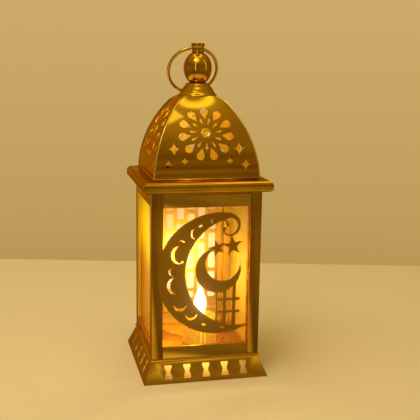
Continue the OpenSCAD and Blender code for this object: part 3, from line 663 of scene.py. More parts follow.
def plain(holder: bpy.types.Object) -> bpy.types.Mesh:
    """Apply an object's modifiers and remove the object.

    Args:
        holder: the object.

    Returns:
        Its plain mesh.
    """
    bpy.context.view_layer.update()
    evaluated = holder.evaluated_get(bpy.context.evaluated_depsgraph_get())
    mesh = bpy.data.meshes.new_from_object(evaluated)
    bpy.data.objects.remove(holder)
    return mesh


def smooth(mesh: bpy.types.Mesh, sharp: float) -> bpy.types.Mesh:
    """Shade a mesh smoothly, but for its sharp edges.

    Args:
        mesh: the mesh.
        sharp: edges sharper than this many degrees stay crisp.

    Returns:
        The same mesh.
    """
    mesh.shade_smooth()
    mesh.set_sharp_from_angle(angle=math.radians(sharp))
    return mesh


def shell(vertices: Iterable[Point], faces: Iterable[Sequence[int]]) -> bpy.types.Mesh:
    """Make a mesh, merged and facing outwards.

    Args:
        vertices: its points.
        faces: the numbers of each face's corners.

    Returns:
        The mesh.
    """
    mesh = bpy.data.meshes.new("shell")
    mesh.from_pydata([tuple(vertex) for vertex in vertices], [], [tuple(face) for face in faces])
    work = bmesh.new()
    work.from_mesh(mesh)
    bmesh.ops.remove_doubles(work, verts=work.verts, dist=CLOSE)
    bmesh.ops.recalc_face_normals(work, faces=work.faces)
    work.to_mesh(mesh)
    work.free()
    return mesh


def swept(rows: int, count: int, start: int = 0, closed: bool = False) -> list[tuple[int, int, int, int]]:
    """Return the faces between rings of points.

    Args:
        rows: how many rings there are.
        count: points in each ring, which closes on itself.
        start: the number of the first point.
        closed: whether the last ring meets the first.

    Returns:
        The faces, as the numbers of their corners.
    """
    faces = []
    for row in range(rows if closed else rows - 1):
        low, high = start + row * count, start + (row + 1) % rows * count
        faces += [(low + k, low + (k + 1) % count, high + (k + 1) % count, high + k) for k in range(count)]
    return faces


def arc(middle: Point, radius: float, first: float, last: float, steps: int) -> list[tuple[float, float]]:
    """Return the points of an arc after its first one, with its ends as angles in radians."""
    angles = [first + (last - first) * step / steps for step in range(1, steps + 1)]
    return [(middle[0] + radius * math.cos(a), middle[1] + radius * math.sin(a)) for a in angles]


def beside(place: tuple[float, float], *steps_mm: tuple[float, float]) -> list[tuple[float, float]]:
    """Return points of an outline that lie so many millimetres from a place."""
    return [(place[0] + out * MM, place[1] + up * MM) for out, up in steps_mm]


def cad_work(node: str) -> bmesh.types.BMesh:
    """Copy a CAD node's mesh to work on.

    Args:
        node: the node.

    Returns:
        The copy, with shared corners.
    """
    work = bmesh.new()
    work.from_mesh(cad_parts[node].data)
    bmesh.ops.remove_doubles(work, verts=work.verts, dist=CAD_CORNER)
    return work


def merged_copy(node: str) -> bpy.types.Mesh:
    """Copy a CAD node's mesh.

    Args:
        node: the node.

    Returns:
        The copy, with shared corners and whole flat faces.
    """
    work = cad_work(node)
    flat = math.radians(FLAT_DEGREES)
    bmesh.ops.dissolve_limit(work, angle_limit=flat, verts=work.verts, edges=work.edges)
    mesh = bpy.data.meshes.new(node)
    work.to_mesh(mesh)
    work.free()
    return mesh


def eased(mesh: bpy.types.Mesh, width: float, steps: int = 2, angle: float = 32.0) -> bpy.types.Mesh:
    """Return a mesh whose edges are rounded off.

    Args:
        mesh: a closed mesh.
        width: the rounding's width in metres.
        steps: faces across a rounded edge.
        angle: edges sharper than this many degrees are rounded.

    Returns:
        A new mesh that shades smoothly over its rounded edges.
    """
    mesh.shade_smooth()
    holder = linked(mesh.name, mesh)
    bevel = holder.modifiers.new("edges", "BEVEL")
    bevel.width = width
    bevel.segments = steps
    bevel.limit_method = "ANGLE"
    bevel.angle_limit = math.radians(angle)
    bevel.harden_normals = True
    bevel.use_clamp_overlap = True
    return plain(holder)


def lathe(profile: Sequence[tuple[float, float]], centre: Point = ORIGIN, steps: int = 96,
          sharp: float = 40.0) -> bpy.types.Mesh:
    """Return a turned mesh.

    Args:
        profile: radius and height of each point, from one end round to the other, in metres.
        centre: where the axis stands.
        steps: faces round the axis.
        sharp: edges sharper than this many degrees stay crisp.

    Returns:
        A closed mesh.
    """
    angles = [math.tau * k / steps for k in range(steps)]
    x, y = centre[:2]
    vertices = [(x + r * math.cos(a), y + r * math.sin(a), z) for r, z in profile for a in angles]
    return smooth(shell(vertices, swept(len(profile), steps)), sharp)


def settle(name: str, mesh: bpy.types.Mesh, look: str, slot: str, *nodes: str, body: str = "lantern",
           others: Sequence[str] = ()) -> None:
    """Put a finished mesh into the scene, on the body that it moves with.

    Args:
        name: the piece's name.
        mesh: its mesh, with its place in it.
        look: the name of its finish.
        slot: the record's material slot; not used.
        nodes: the CAD nodes that it stands for.
        body: the body that it moves with.
        others: the finishes of the faces with material index 1 and up.
    """
    mesh.name = name
    piece = linked(name, mesh)
    indices = [face.material_index if others else 0 for face in mesh.polygons]
    mesh.materials.clear()
    for used in (look, *others):
        mesh.materials.append(finish(used))
    mesh.polygons.foreach_set("material_index", indices)
    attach(piece, body)
    if nodes:
        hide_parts(*nodes)
    LOG.info("%s: %d faces on body %s", name, len(mesh.polygons), body)


def dress_node(node: str, look: str) -> None:
    """Give a CAD node that stays in view its finish.

    Args:
        node: the node.
        look: the finish's name.
    """
    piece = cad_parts[node]
    piece.data.materials.clear()
    piece.data.materials.append(finish(look))
    LOG.info("%s: CAD node in %s", node, look)


def refine(node: str, look: str, slot: str, width_mm: float, body: str = "lantern",
           second: str | None = None, facing: Point = (0.0, -1.0, 0.0)) -> None:
    """Replace a CAD node by its own shape with eased edges.

    Args:
        node: the CAD node.
        look: its finish.
        slot: the record's material slot; not used.
        width_mm: how wide its edges are eased.
        body: the body that it moves with.
        second: another finish, for the faces that look one way.
        facing: that way.
    """
    mesh = eased(merged_copy(node), width_mm * MM)
    if second:
        for face in mesh.polygons:
            face.material_index = int(face.normal.dot(Vector(facing)) > SAME_WAY)
    settle(f"{node}_eased", mesh, look, slot, node, body=body, others=(second,) if second else ())


@dataclass(frozen=True)
class Lamp:
    """One soft lamp: where it hangs, what it looks at, its size and power, and what doesn't see it."""

    name: str
    place: Point
    aim: Point
    size: tuple[float, float]
    watts: float
    colour: Colour
    hidden_from: Sequence[str] = ("camera",)

    def hang(self) -> bpy.types.Object:
        """Hang the lamp in the scene.

        Returns:
            The lamp.
        """
        data = bpy.data.lights.new(self.name, "AREA")
        data.shape = "RECTANGLE"
        data.size, data.size_y = self.size
        data.energy = self.watts
        data.color = self.colour
        lamp = linked(self.name, data)
        turn = (Vector(self.aim) - Vector(self.place)).to_track_quat("-Z", "Y").to_matrix().to_4x4()
        lamp.matrix_world = Matrix.Translation(self.place) @ turn
        for kind in self.hidden_from:
            setattr(lamp, f"visible_{kind}", False)
        return lamp


@dataclass
class Studio:
    """The camera, the floor, the room and the lamps."""

    camera_place: Point = (-0.1233, -0.5664, 0.2331)
    camera_yaw: float = -13.35
    camera_pitch: float = -11.15
    camera_roll: float = 0.96
    focal_pixels: float = 777.0
    picture_width: float = 420.0
    floor_reach: float = 1.6
    floor_behind: float = 0.29
    cloud_scale: float = 2.3
    room_stops: Sequence[tuple[float, Colour]] = (
        (0.0, (0.60, 0.42, 0.13)), (0.14, (0.85, 0.62, 0.20)), (0.21, (0.70, 0.50, 0.15)),
        (0.26, (0.17, 0.10, 0.025)), (0.47, (0.27, 0.175, 0.045)),
        (0.50, (0.17, 0.10, 0.024)), (0.53, (0.34, 0.23, 0.06)), (0.555, (0.14, 0.08, 0.016)),
        (0.60, (0.27, 0.17, 0.04)), (0.65, (0.18, 0.11, 0.025)), (0.70, (0.27, 0.18, 0.045)),
        (0.80, (0.34, 0.23, 0.06)), (0.92, (0.44, 0.32, 0.08)), (0.955, (0.54, 0.41, 0.11)),
        (0.966, (2.10, 1.72, 0.62)), (0.976, (1.70, 1.38, 0.44)), (0.985, (0.46, 0.34, 0.08)),
        (1.0, (0.34, 0.24, 0.05)))
    backdrop_stops: Sequence[tuple[float, Colour]] = (
        (0.34, (0.44, 0.27, 0.075)), (0.40, (0.52, 0.335, 0.105)), (0.55, (0.62, 0.42, 0.15)))
    room_lamps: Sequence[Lamp] = (
        Lamp("overhead", (-0.45, -0.25, 1.1), ORIGIN, (0.9, 0.9), 6.0, (1.0, 0.90, 0.72),
             ("camera", "glossy")),
        Lamp("ceiling", (-0.42, -0.86, 1.32), (0.0, 0.0, 0.2), (1.0, 0.62), 2.6, (1.0, 0.86, 0.46),
             ("camera", "diffuse")),
        Lamp("window", (-0.50, -0.62, 1.20), (0.0, 0.0, 0.2), (0.26, 0.30), 0.9, (1.0, 0.90, 0.56)),
        Lamp("left_strip", (-0.60, -1.10, 0.50), (0.0, 0.0, 0.15), (0.08, 1.1), 0.65, (1.0, 0.90, 0.58)),
        Lamp("right_strip", (1.05, -0.60, 0.60), (0.0, 0.0, 0.15), (0.08, 1.2), 0.6, (1.0, 0.84, 0.46)))
    tray_lamp: Lamp = Lamp("under_tray", (0.0, 0.0, 0.0135), ORIGIN, (0.056, 0.056), 0.022, (1.0, 0.62, 0.13))

    def build(self) -> None:
        """Make the whole studio."""
        self.add_camera()
        self.add_floor()
        self.add_room()
        self.add_bloom()
        for lamp in self.room_lamps:
            lamp.hang()
        under = self.tray_lamp.hang()
        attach(under, "lantern")

    def add_camera(self) -> None:
        """Stand the camera where the photograph was taken from."""
        data = bpy.data.cameras.new("camera")
        data.sensor_width = 36.0
        data.lens = data.sensor_width * self.focal_pixels / self.picture_width
        data.clip_start = 0.01
        camera = linked("camera", data)
        level = placed(self.camera_place, self.camera_yaw)
        camera.matrix_world = (level @ placed(degrees=90.0 + self.camera_pitch, axis="X")
                               @ placed(degrees=self.camera_roll))
        bpy.context.scene.camera = camera

    def paint(self) -> bpy.types.Material:
        """Mix the floor's pale paint.

        Returns:
            The paint's material.
        """
        tree = SurfaceTree("floor_paint")
        mottle = tree.noise(3.0, 3.0)
        colour = tree.blend(mottle, (0.86, 0.72, 0.50), (0.82, 0.68, 0.46))
        return tree.close(Base_Color=colour, Roughness=0.55 + mottle * 0.1)

    def add_floor(self) -> None:
        """Lay a plain pale floor, which the metal doesn't mirror."""
        reach, behind = self.floor_reach, self.floor_behind
        corners = [(-reach, -reach, 0), (reach, -reach, 0), (reach, behind, 0), (-reach, behind, 0)]
        turn = placed(degrees=self.camera_yaw)
        mesh = shell([turn @ Vector(corner) for corner in corners], [range(4)])
        mesh.materials.append(self.paint())
        floor = linked("floor", mesh)
        floor.visible_glossy = False

    def add_room(self) -> None:
        """Light the room: dark round the walls, bright overhead, and a plain warm backdrop in view."""
        world = bpy.data.worlds.new("room")
        tree = Tree(emptied(world))
        way = tree.node("ShaderNodeTexCoord", output="Generated")
        rise = tree.axis(way, "Z") * 0.5 + 0.5
        clouds = {"Vector": way, "Scale": self.cloud_scale, "Detail": 1.0}
        cloud = tree.node("ShaderNodeTexNoise", {}, clouds) * 0.9 + 0.55
        room = tree.ramp(rise, *self.room_stops)
        uneven = tree.node("ShaderNodeVectorMath", {"operation": "SCALE"}, {0: room, "Scale": cloud})
        behind = tree.ramp(tree.axis(way, "Y"), (0.60, 0.0), (0.95, 0.55))
        seen = tree.node("ShaderNodeLightPath", output="Is Camera Ray").math("MAXIMUM", behind)
        colour = tree.blend(seen, uneven, tree.ramp(rise, *self.backdrop_stops))
        tree.end("ShaderNodeOutputWorld", tree.node("ShaderNodeBackground", {}, {"Color": colour}))
        bpy.context.scene.world = world
        bpy.context.scene.view_settings.view_transform = "Standard"

    def add_bloom(self) -> None:
        """Let the brightest spots bleed a little, as they do in a lens."""
        tree = Tree(emptied(bpy.context.scene))
        inputs = {"Image": tree.node("CompositorNodeRLayers"), "Threshold": 1.0, "Strength": 0.5, "Size": 0.6,
                  "Tint": (1.0, 0.84, 0.34, 1.0)}
        tree.end("CompositorNodeComposite", tree.node("CompositorNodeGlare", {"glare_type": "BLOOM"}, inputs))


@dataclass
class Base:
    """The flared skirt, the tray on it and the screws below."""

    skirt_edge_mm: float = 0.25
    tray_edge_mm: float = 0.12

    def build(self) -> None:
        """Make the base."""
        refine("base_skirt", "skirt", "gold_sheet", self.skirt_edge_mm)
        refine("floor_tray", "tray", "gold_sheet", self.tray_edge_mm)
        dress_node("base_screws", "zinc")


@dataclass
class Cage:
    """The four posts and the eight rails."""

    edge_mm: float = 0.32

    def build(self) -> None:
        """Make the cage, with a painted candle glow on the faces towards the candle."""
        for corner in ("front_left", "front_right", "back_left", "back_right"):
            # The back posts take the painted candle glow on their faces towards the candle.
            lit = "painted_glow_profile" if corner.startswith("back") else None
            refine(f"post_{corner}", "profile", "gold_profile", self.edge_mm, second=lit)
        for side in Side:
            inwards = side.turn() @ Vector((0.0, 1.0, 0.0))
            for level in ("top", "bottom"):
                node = f"{side.name.lower()}_{level}_rail"
                refine(node, "rail", "gold_profile", self.edge_mm, second="painted_glow_profile", facing=inwards)


@dataclass
class Panes:
    """The clear panes at the front and the sides."""

    edge_mm: float = 0.15

    def build(self) -> None:
        """Make the panes."""
        # The side panes' finishes paint the candle's light in them as amber colour and glow.
        for side, look in (("front", "clear"), ("left", "left"), ("right", "right")):
            refine(f"{side}_pane", look, "clear_glass", self.edge_mm)


@dataclass
class MoonOrnament:
    """The cut sheet on the front, rebuilt from its own outline with a fine chamfer."""

    chamfer: float = 0.10 * MM
    shortest: float = 0.02 * MM
    straight: float = 1e-4
    front: float = field(init=False)
    back: float = field(init=False)

    def __post_init__(self) -> None:
        """Take the sheet's place from the frame."""
        low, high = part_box("moon_ornament")
        self.front, self.back = low.y, high.y

    def loops(self) -> list[list[Vector]]:
        """Read the outlines of the sheet's front face.

        Returns:
            Points of X and Z, with metal on their left.
        """
        work = cad_work("moon_ornament")
        follows: dict[int, int] = {}
        places: dict[int, Vector] = {}
        for face in work.faces:
            if face.normal.y > -SAME_WAY or abs(face.calc_center_median().y - self.front) > CAD_PLANE:
                continue
            for loop in face.loops:
                if sum(near.normal.y < -SAME_WAY for near in loop.edge.link_faces) == 1:
                    follows[loop.vert.index] = loop.link_loop_next.vert.index
                    places[loop.vert.index] = loop.vert.co.xz
        work.free()
        chains = []
        while follows:
            chain, here = [], next(iter(follows))
            while here in follows:
                chain.append(places[here])
                here = follows.pop(here)
            chains.append(self.thinned(chain))
        return [chain for chain in chains if len(chain) > 2]

    def thinned(self, chain: list[Vector]) -> list[Vector]:
        """Leave out the points of an outline that lie on a straight run or on each other.

        Args:
            chain: the outline.

        Returns:
            The points that are kept.
        """
        kept = []
        for k, point in enumerate(chain):
            before, after = point - chain[k - 1], chain[(k + 1) % len(chain)] - point
            if before.length < self.shortest:
                continue
            if after.length > 0 and abs(before.normalized().cross(after.normalized())) < self.straight:
                continue
            kept.append(point)
        return kept

    def drawn_in(self, chain: list[Vector]) -> list[Vector]:
        """Move an outline into the metal by the chamfer.

        Args:
            chain: the outline.

        Returns:
            The moved outline.
        """
        moved = []
        for k, point in enumerate(chain):
            before = (point - chain[k - 1]).normalized()
            after = (chain[(k + 1) % len(chain)] - point).normalized()
            inwards = Vector((-before.y - after.y, before.x + after.x))
            if inwards.length < 0.2:
                inwards = before - after
            moved.append(point + inwards.normalized() * self.chamfer)
        return moved

    def mesh(self) -> bpy.types.Mesh:
        """Make the sheet: front, back, walls and chamfer.

        Returns:
            A closed mesh.
        """
        chains = self.loops()
        insets = [self.drawn_in(chain) for chain in chains]
        vertices: list[Point] = []
        faces: list[Sequence[int]] = []
        for level, outlines in ((self.front, insets), (self.back, chains)):
            start = len(vertices)
            vertices += [(point.x, level, point.y) for outline in outlines for point in outline]
            faces += [[start + k for k in triangle] for triangle in geometry.tessellate_polygon(outlines)]
        for chain, inset in zip(chains, insets):
            faces += swept(3, len(chain), len(vertices))
            for level, line in ((self.back, chain), (self.front + self.chamfer, chain), (self.front, inset)):
                vertices += [(point.x, level, point.y) for point in line]
        return shell(vertices, faces)

    def build(self) -> None:
        """Make the ornament."""
        settle("moon_ornament_cut", self.mesh(), "fretwork", "gold_fretwork", "moon_ornament")


@dataclass
class Roof:
    """The roof plate, its screws and the reeded moulding that carries the dome."""

    seat_half: float = field(init=False)
    low: float = field(init=False)
    high: float = field(init=False)
    out: float = field(init=False)
    lip_in: float = 1.4 * MM
    lip_h: float = 0.9 * MM
    fall: float = 1.0 * MM
    rounding: float = 4.0 * MM
    wall: float = 0.8 * MM
    seat: float = 3.0 * MM
    seat_land: float = 0.1 * MM
    reeds: int = 5
    reed_steps: int = 6
    round_steps: int = 12
    reed_depth: float = 0.18 * MM
    below_reeds: float = 0.5 * MM
    foot_mm: Sequence[tuple[float, float]] = ((-0.15, 0.12), (-0.4, 0.0))
    plate_edge_mm: float = 0.15
    edge: float = 0.12 * MM

    def __post_init__(self) -> None:
        """Take the moulding's place from the frame."""
        low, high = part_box("eave_moulding")
        self.low, self.high, self.out = low.z, high.z, high.x
        self.seat_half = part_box("dome_front")[1].x

    def profile(self) -> list[tuple[float, float]]:
        """Draw the moulding's outline, from the seat round and back.

        Returns:
            Each point's distance out and height.
        """
        top, foot = self.high - self.fall, self.low + self.lip_h
        spring = top - self.rounding
        turn_in, inner = self.out - self.rounding, self.out - 2 * self.wall
        lip = self.out - self.lip_in
        line = [(self.seat_half - self.seat, self.high), (self.seat_half + self.seat_land, self.high)]
        line += [(turn_in, top), *arc((turn_in, spring), self.rounding, math.pi / 2, 0.0, self.round_steps)]
        for step in range(1, self.reeds * self.reed_steps + 1):
            turns = step / self.reed_steps
            dip = self.reed_depth * abs(math.sin(math.pi * turns))
            line.append((self.out - dip, spring - (spring - foot - self.below_reeds) * turns / self.reeds))
        line += [*beside((self.out, foot), *self.foot_mm), (lip, foot), (lip, self.low)]
        line += [(lip - self.wall, self.low), (lip - self.wall, foot + self.wall), (inner, foot + self.wall)]
        line += [(inner, spring), (turn_in, top - self.wall)]
        return [*line, (self.seat_half - self.seat, self.high - self.wall)]

    def moulding(self) -> bpy.types.Mesh:
        """Make the moulding, mitred at its four corners.

        Returns:
            A closed mesh with eased edges.
        """
        profile = self.profile()
        corners = ((-1, -1), (1, -1), (1, 1), (-1, 1))
        vertices = [(x * r, y * r, z) for r, z in profile for x, y in corners]
        return eased(shell(vertices, swept(len(profile), 4, closed=True)), self.edge, 2, 24.0)

    def build(self) -> None:
        """Make the roof."""
        refine("roof_plate", "sheet", "gold_sheet", self.plate_edge_mm)
        settle("eave_moulding_reeded", self.moulding(), "moulding", "gold_sheet", "eave_moulding")
        dress_node("roof_screws", "zinc")


@dataclass
class Dome:
    """Four pierced and curved panels, the seams between them, and the small bosses on them."""

    curve: float = 87.2 * MM
    drop: float = 3.6 * MM
    wall: float = 0.8 * MM
    flower_angle: float = 23.8
    crown_start_share: float = 0.93
    crown_power: float = 1.5
    crown_round_share: float = 0.62
    crown_dip: float = math.radians(6.0)
    crown_turn: float = math.radians(11.0)
    petals: int = 11
    petal_ring: float = 15.6 * MM
    petal_length: float = 8.8 * MM
    petal_width: float = 5.8 * MM
    slot_ring: float = 9.0 * MM
    slot_length: float = 5.2 * MM
    slot_width: float = 1.9 * MM
    hub_hole: float = 1.6 * MM
    hub: float = 3.75 * MM
    drop_corners: int = 36
    star_corners: int = 40
    hub_corners: int = 32
    boss_steps: int = 72
    columns: int = 25
    strips: int = 72
    edge: float = 0.20 * MM
    seam: float = 0.58 * MM
    seam_steps: int = 48
    seam_sink: float = 0.12 * MM
    seam_short: float = 0.4 * MM
    foot_bead: float = 0.32 * MM
    lobe_depth: float = 0.16
    boss_line: Sequence[tuple[float, float]] = (
        (1.0, 0.0), (1.0, 0.35), (0.93, 0.52), (0.78, 0.60), (0.62, 0.48), (0.52, 0.42), (0.44, 0.34),
        (0.43, 0.0))
    star_hollow: float = 2.2
    sparks_mm: Sequence[tuple[float, float, float, float]] = (
        (23.6, -11.2, 4.1, 5.2), (16.3, -20.0, 3.2, 2.7), (28.0, -22.6, 3.9, 4.2))
    half: float = field(init=False)
    low: float = field(init=False)
    high: float = field(init=False)
    axis_in: float = field(init=False)
    axis_low: float = field(init=False)

    def __post_init__(self) -> None:
        """Take the dome's place from the frame, and from it the axis that the panels are bent about."""
        low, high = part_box("dome_front")
        self.low, self.high, self.half = low.z, high.z, high.x
        self.axis_in = math.sqrt(self.curve ** 2 - self.drop ** 2) - self.half
        self.axis_low = self.low - self.drop

    def ends(self) -> tuple[float, float]:
        """Return the panel's foot and top as lengths along the curve from the flower's middle."""
        angles = [math.asin((z - self.axis_low) / self.curve) for z in (self.low, self.high)]
        return tuple(self.curve * (angle - math.radians(self.flower_angle)) for angle in angles)

    def bent(self, along: Value, height: Value | float) -> tuple[Value, Value]:
        """Bend the flat panel to the dome's curve.

        Args:
            along: a point's place up the flat panel.
            height: its height over the panel.

        Returns:
            How far out and how high the point comes to lie.
        """
        angle = along / self.curve + math.radians(self.flower_angle)
        reach = height + self.curve
        return angle.math("COSINE") * reach - self.axis_in, angle.math("SINE") * reach + self.axis_low

    def drop_shape(self, tree: GeometryTree, length: Value, width: Value) -> Value:
        """Shape a teardrop prism that points along -X.

        Args:
            tree: the tree that it is made in.
            length: its length.
            width: its width.

        Returns:
            The prism.
        """
        prism = tree.prism(self.drop_corners, 1.0)
        x, y, z = tree.coordinates()
        half, blunt = length * 0.5, width * 0.5
        angle = y.math("ARCTAN2", x)
        bend = (blunt / (length - blunt)).math("ARCSINE") + math.pi / 2
        held = angle.math("MINIMUM", bend).math("MAXIMUM", bend * -1.0)
        point = ((abs(angle) - bend) / (math.pi - bend)).math("MAXIMUM", 0.0)
        along = (half - blunt + held.math("COSINE") * blunt) * (1.0 - point) - point * half
        across = held.math("SINE") * blunt * (1.0 - point)
        return tree.moved(prism, tree.vector(along, across, z))

    def star_shape(self, tree: GeometryTree, place: Point, reach: Point) -> Value:
        """Shape a four-pointed prism with hollow sides.

        Args:
            tree: the tree that it is made in.
            place: where it stands on the panel.
            reach: how far its points reach across and up.

        Returns:
            The prism.
        """
        prism = tree.prism(self.star_corners, 1.0)
        x, y, z = tree.coordinates()
        wide, tall = x * abs(x) ** self.star_hollow * reach[0], y * abs(y) ** self.star_hollow * reach[1]
        return tree.set_in(tree.moved(prism, tree.vector(wide, tall, z)), (*place, 0.0))

    def drawn(self, rise: Value, squareness: Value | float) -> Value:
        """Draw a point in where the square plan turns round.

        Args:
            rise: its height.
            squareness: 1 in the middle of a side, less towards a corner.

        Returns:
            The factor on its distance from the axis.
        """
        start = self.low + self.crown_start_share * (self.high - self.low)
        share = ((rise - start) / (self.high - start)).math("MAXIMUM", 0.0).math("MINIMUM", 1.0)
        power = share ** self.crown_power * self.crown_round_share
        return rise.tree.node("ShaderNodeMath", {"operation": "POWER"}, {0: squareness, 1: power})

    def outer_normal(self, place: Vector) -> Vector:
        """Work out the front panel's normal, softly crowned towards the collar.

        Args:
            place: a point on the panel.

        Returns:
            The normal at that point.
        """
        share = place.x / -place.y
        crown = min(max((place.z - self.low) / (self.high - self.low), 0.0), 1.0) ** 2
        lift = math.asin(min((place.z - self.axis_low) / self.curve, 0.999))
        lift -= self.crown_dip * crown * share ** 2
        turn = self.crown_turn * crown * share
        return Vector((math.cos(lift) * math.sin(turn), -math.cos(lift) * math.cos(turn), math.sin(lift)))

    def smoothed(self, mesh: bpy.types.Mesh) -> bpy.types.Mesh:
        """Give the panel true normals outside, and mark its inner faces and rims.

        Args:
            mesh: the panel.

        Returns:
            The same mesh.
        """
        normals = [Vector() for _ in mesh.loops]
        for face in mesh.polygons:
            lean = face.normal.dot(self.outer_normal(face.center))
            if lean > SAME_WAY:
                for corner in face.loop_indices:
                    normals[corner] = self.outer_normal(mesh.vertices[mesh.loops[corner].vertex_index].co)
            face.material_index = 1 if lean < -SAME_WAY else 0 if lean > SAME_WAY else 2
        mesh.normals_split_custom_set(normals)
        return mesh

    def ring_of(self, tree: GeometryTree, shape: Value, count: Value, radius: Value, start: float) -> Value:
        """Set copies of a shape round a circle.

        Args:
            tree: the tree that they are made in.
            shape: what is copied.
            count: how many.
            radius: the circle's radius.
            start: the first one's turn in radians.

        Returns:
            The copies.
        """
        circle = tree.node("GeometryNodeMeshCircle", {}, {"Vertices": count, "Radius": radius})
        turn = tree.vector(z=tree.node("GeometryNodeInputIndex") * math.tau / count)
        return tree.set_in(tree.copies(circle, shape, turn), turn=(0.0, 0.0, start))

    def panel(self) -> bpy.types.Mesh:
        """Make the front panel: a flat slab is pierced, then bent to the dome's curve.

        Returns:
            A closed mesh.
        """
        tree = GeometryTree("pierced_panel")
        petals = tree.size("Petals", self.petals)
        rings = []
        for name, length, width, radius, start in (
                ("Petal", self.petal_length, self.petal_width, self.petal_ring, 0.0),
                ("Slot", self.slot_length, self.slot_width, self.slot_ring, math.pi / self.petals)):
            long, wide = tree.size(f"{name} length", length), tree.size(f"{name} width", width)
            ring = tree.size(f"{name} ring", radius)
            drop = self.drop_shape(tree, long, wide)
            rings.append(self.ring_of(tree, drop, petals, ring, math.pi / 2 + start))
        stars = [self.star_shape(tree, (side * x * MM, y * MM), (wide * MM, tall * MM)) for side in (-1, 1)
                 for x, y, wide, tall in self.sparks_mm]
        foot, top = self.ends()
        wall = tree.size("Wall", self.wall)
        size = tree.vector(2.0, top - foot, wall)
        counts = {"Size": size, "Vertices X": self.columns, "Vertices Y": self.strips, "Vertices Z": 2}
        slab = tree.node("GeometryNodeMeshCube", {}, counts)
        x, y, z = tree.coordinates()
        along, depth = y + (top + foot) / 2, z - wall * 0.5
        sized = tree.moved(slab, tree.vector(x * self.bent(along, depth)[0], along, depth))
        pierced = tree.cut(sized, *rings, tree.prism(self.hub_corners, self.hub_hole), *stars)
        x, y, z = tree.coordinates()
        out, rise = self.bent(y, z)
        draw_in = self.drawn(rise, out / (x * x + out * out).math("SQRT"))
        shaped = tree.moved(pierced, tree.vector(x * draw_in, out * draw_in * -1.0, rise))
        return tree.mesh(shaped, "sheet")

    def seams(self) -> bpy.types.Mesh:
        """Make the four soldered beads that follow the hips, and the one round the foot.

        Returns:
            One mesh of them all.
        """
        tree = GeometryTree("hip_seams")
        foot, top = self.ends()
        line = tree.line((foot, 0, 0), (top - self.seam_short, 0, 0))
        steps = tree.size("Steps", self.seam_steps)
        line = tree.node("GeometryNodeResampleCurve", {}, {"Curve": line, "Count": steps})
        out, rise = self.bent(tree.coordinates()[0], -self.seam_sink)
        out = out * self.drawn(rise, math.sqrt(0.5))
        hip = tree.moved(line, tree.vector(out, out, rise))
        bead = tree.drawn_along(hip, tree.circle(tree.size("Bead", self.seam)), True)
        beads = [tree.set_in(bead, turn=(0.0, 0.0, math.radians(side.value))) for side in Side]
        square = tree.rectangle(2 * self.half, 2 * self.half)
        foot_line = tree.drawn_along(square, tree.circle(tree.size("Foot bead", self.foot_bead)))
        beads.append(tree.set_in(foot_line, (0.0, 0.0, self.low + 0.5 * self.foot_bead)))
        mesh = tree.mesh(tree.joined(*beads), "seam")
        mesh.shade_smooth()
        return mesh

    def boss(self) -> bpy.types.Mesh:
        """Make one crowned six-lobed boss, flat on the XY plane, with its hole.

        Returns:
            A closed mesh.
        """
        steps, hole = self.boss_steps, self.boss_line[-1][0]
        vertices = []
        for share, height in self.boss_line:
            for k in range(steps):
                angle = math.tau * k / steps
                lobes = 1.0 - self.lobe_depth * (share - hole) / (1 - hole) * (1 - abs(math.cos(3 * angle)))
                radius = self.hub * share * lobes
                vertices.append((radius * math.cos(angle), radius * math.sin(angle), height * MM))
        return smooth(shell(vertices, swept(len(self.boss_line), steps, closed=True)), 60.0)

    def on_flower(self, side: Side) -> Matrix:
        """Find the middle of a panel's flower.

        Args:
            side: the panel's side.

        Returns:
            Its place, with Z square to the panel.
        """
        angle = math.radians(self.flower_angle)
        out, rise = self.curve * math.cos(angle) - self.axis_in, self.curve * math.sin(angle) + self.axis_low
        return side.turn() @ placed((0.0, -out, rise), 90.0 - self.flower_angle, "X")

    def build(self) -> None:
        """Make the dome."""
        panel = self.smoothed(eased(self.panel(), self.edge, 2, 40.0))
        bosses = bmesh.new()
        for side in Side:
            turned = panel.copy()
            turned.transform(side.turn())
            name = f"dome_{side.name.lower()}"
            # The inner faces take the finish with the painted candle glow, and the cut walls the one with the
            # painted highlight.
            settle(f"{name}_pierced", turned, "sheet", "gold_sheet", name, others=("inside", "rim"))
            boss = self.boss()
            boss.transform(self.on_flower(side))
            bosses.from_mesh(boss)
        mesh = bpy.data.meshes.new("dome_bosses")
        bosses.to_mesh(mesh)
        bosses.free()
        mesh.shade_smooth()
        settle("dome_bosses", mesh, "boss", "gold_fretwork", "dome_rosettes")
        settle("dome_hip_seams", self.seams(), "seam", "gold_sheet")
        dress_node("dome_top_plate", "sheet")


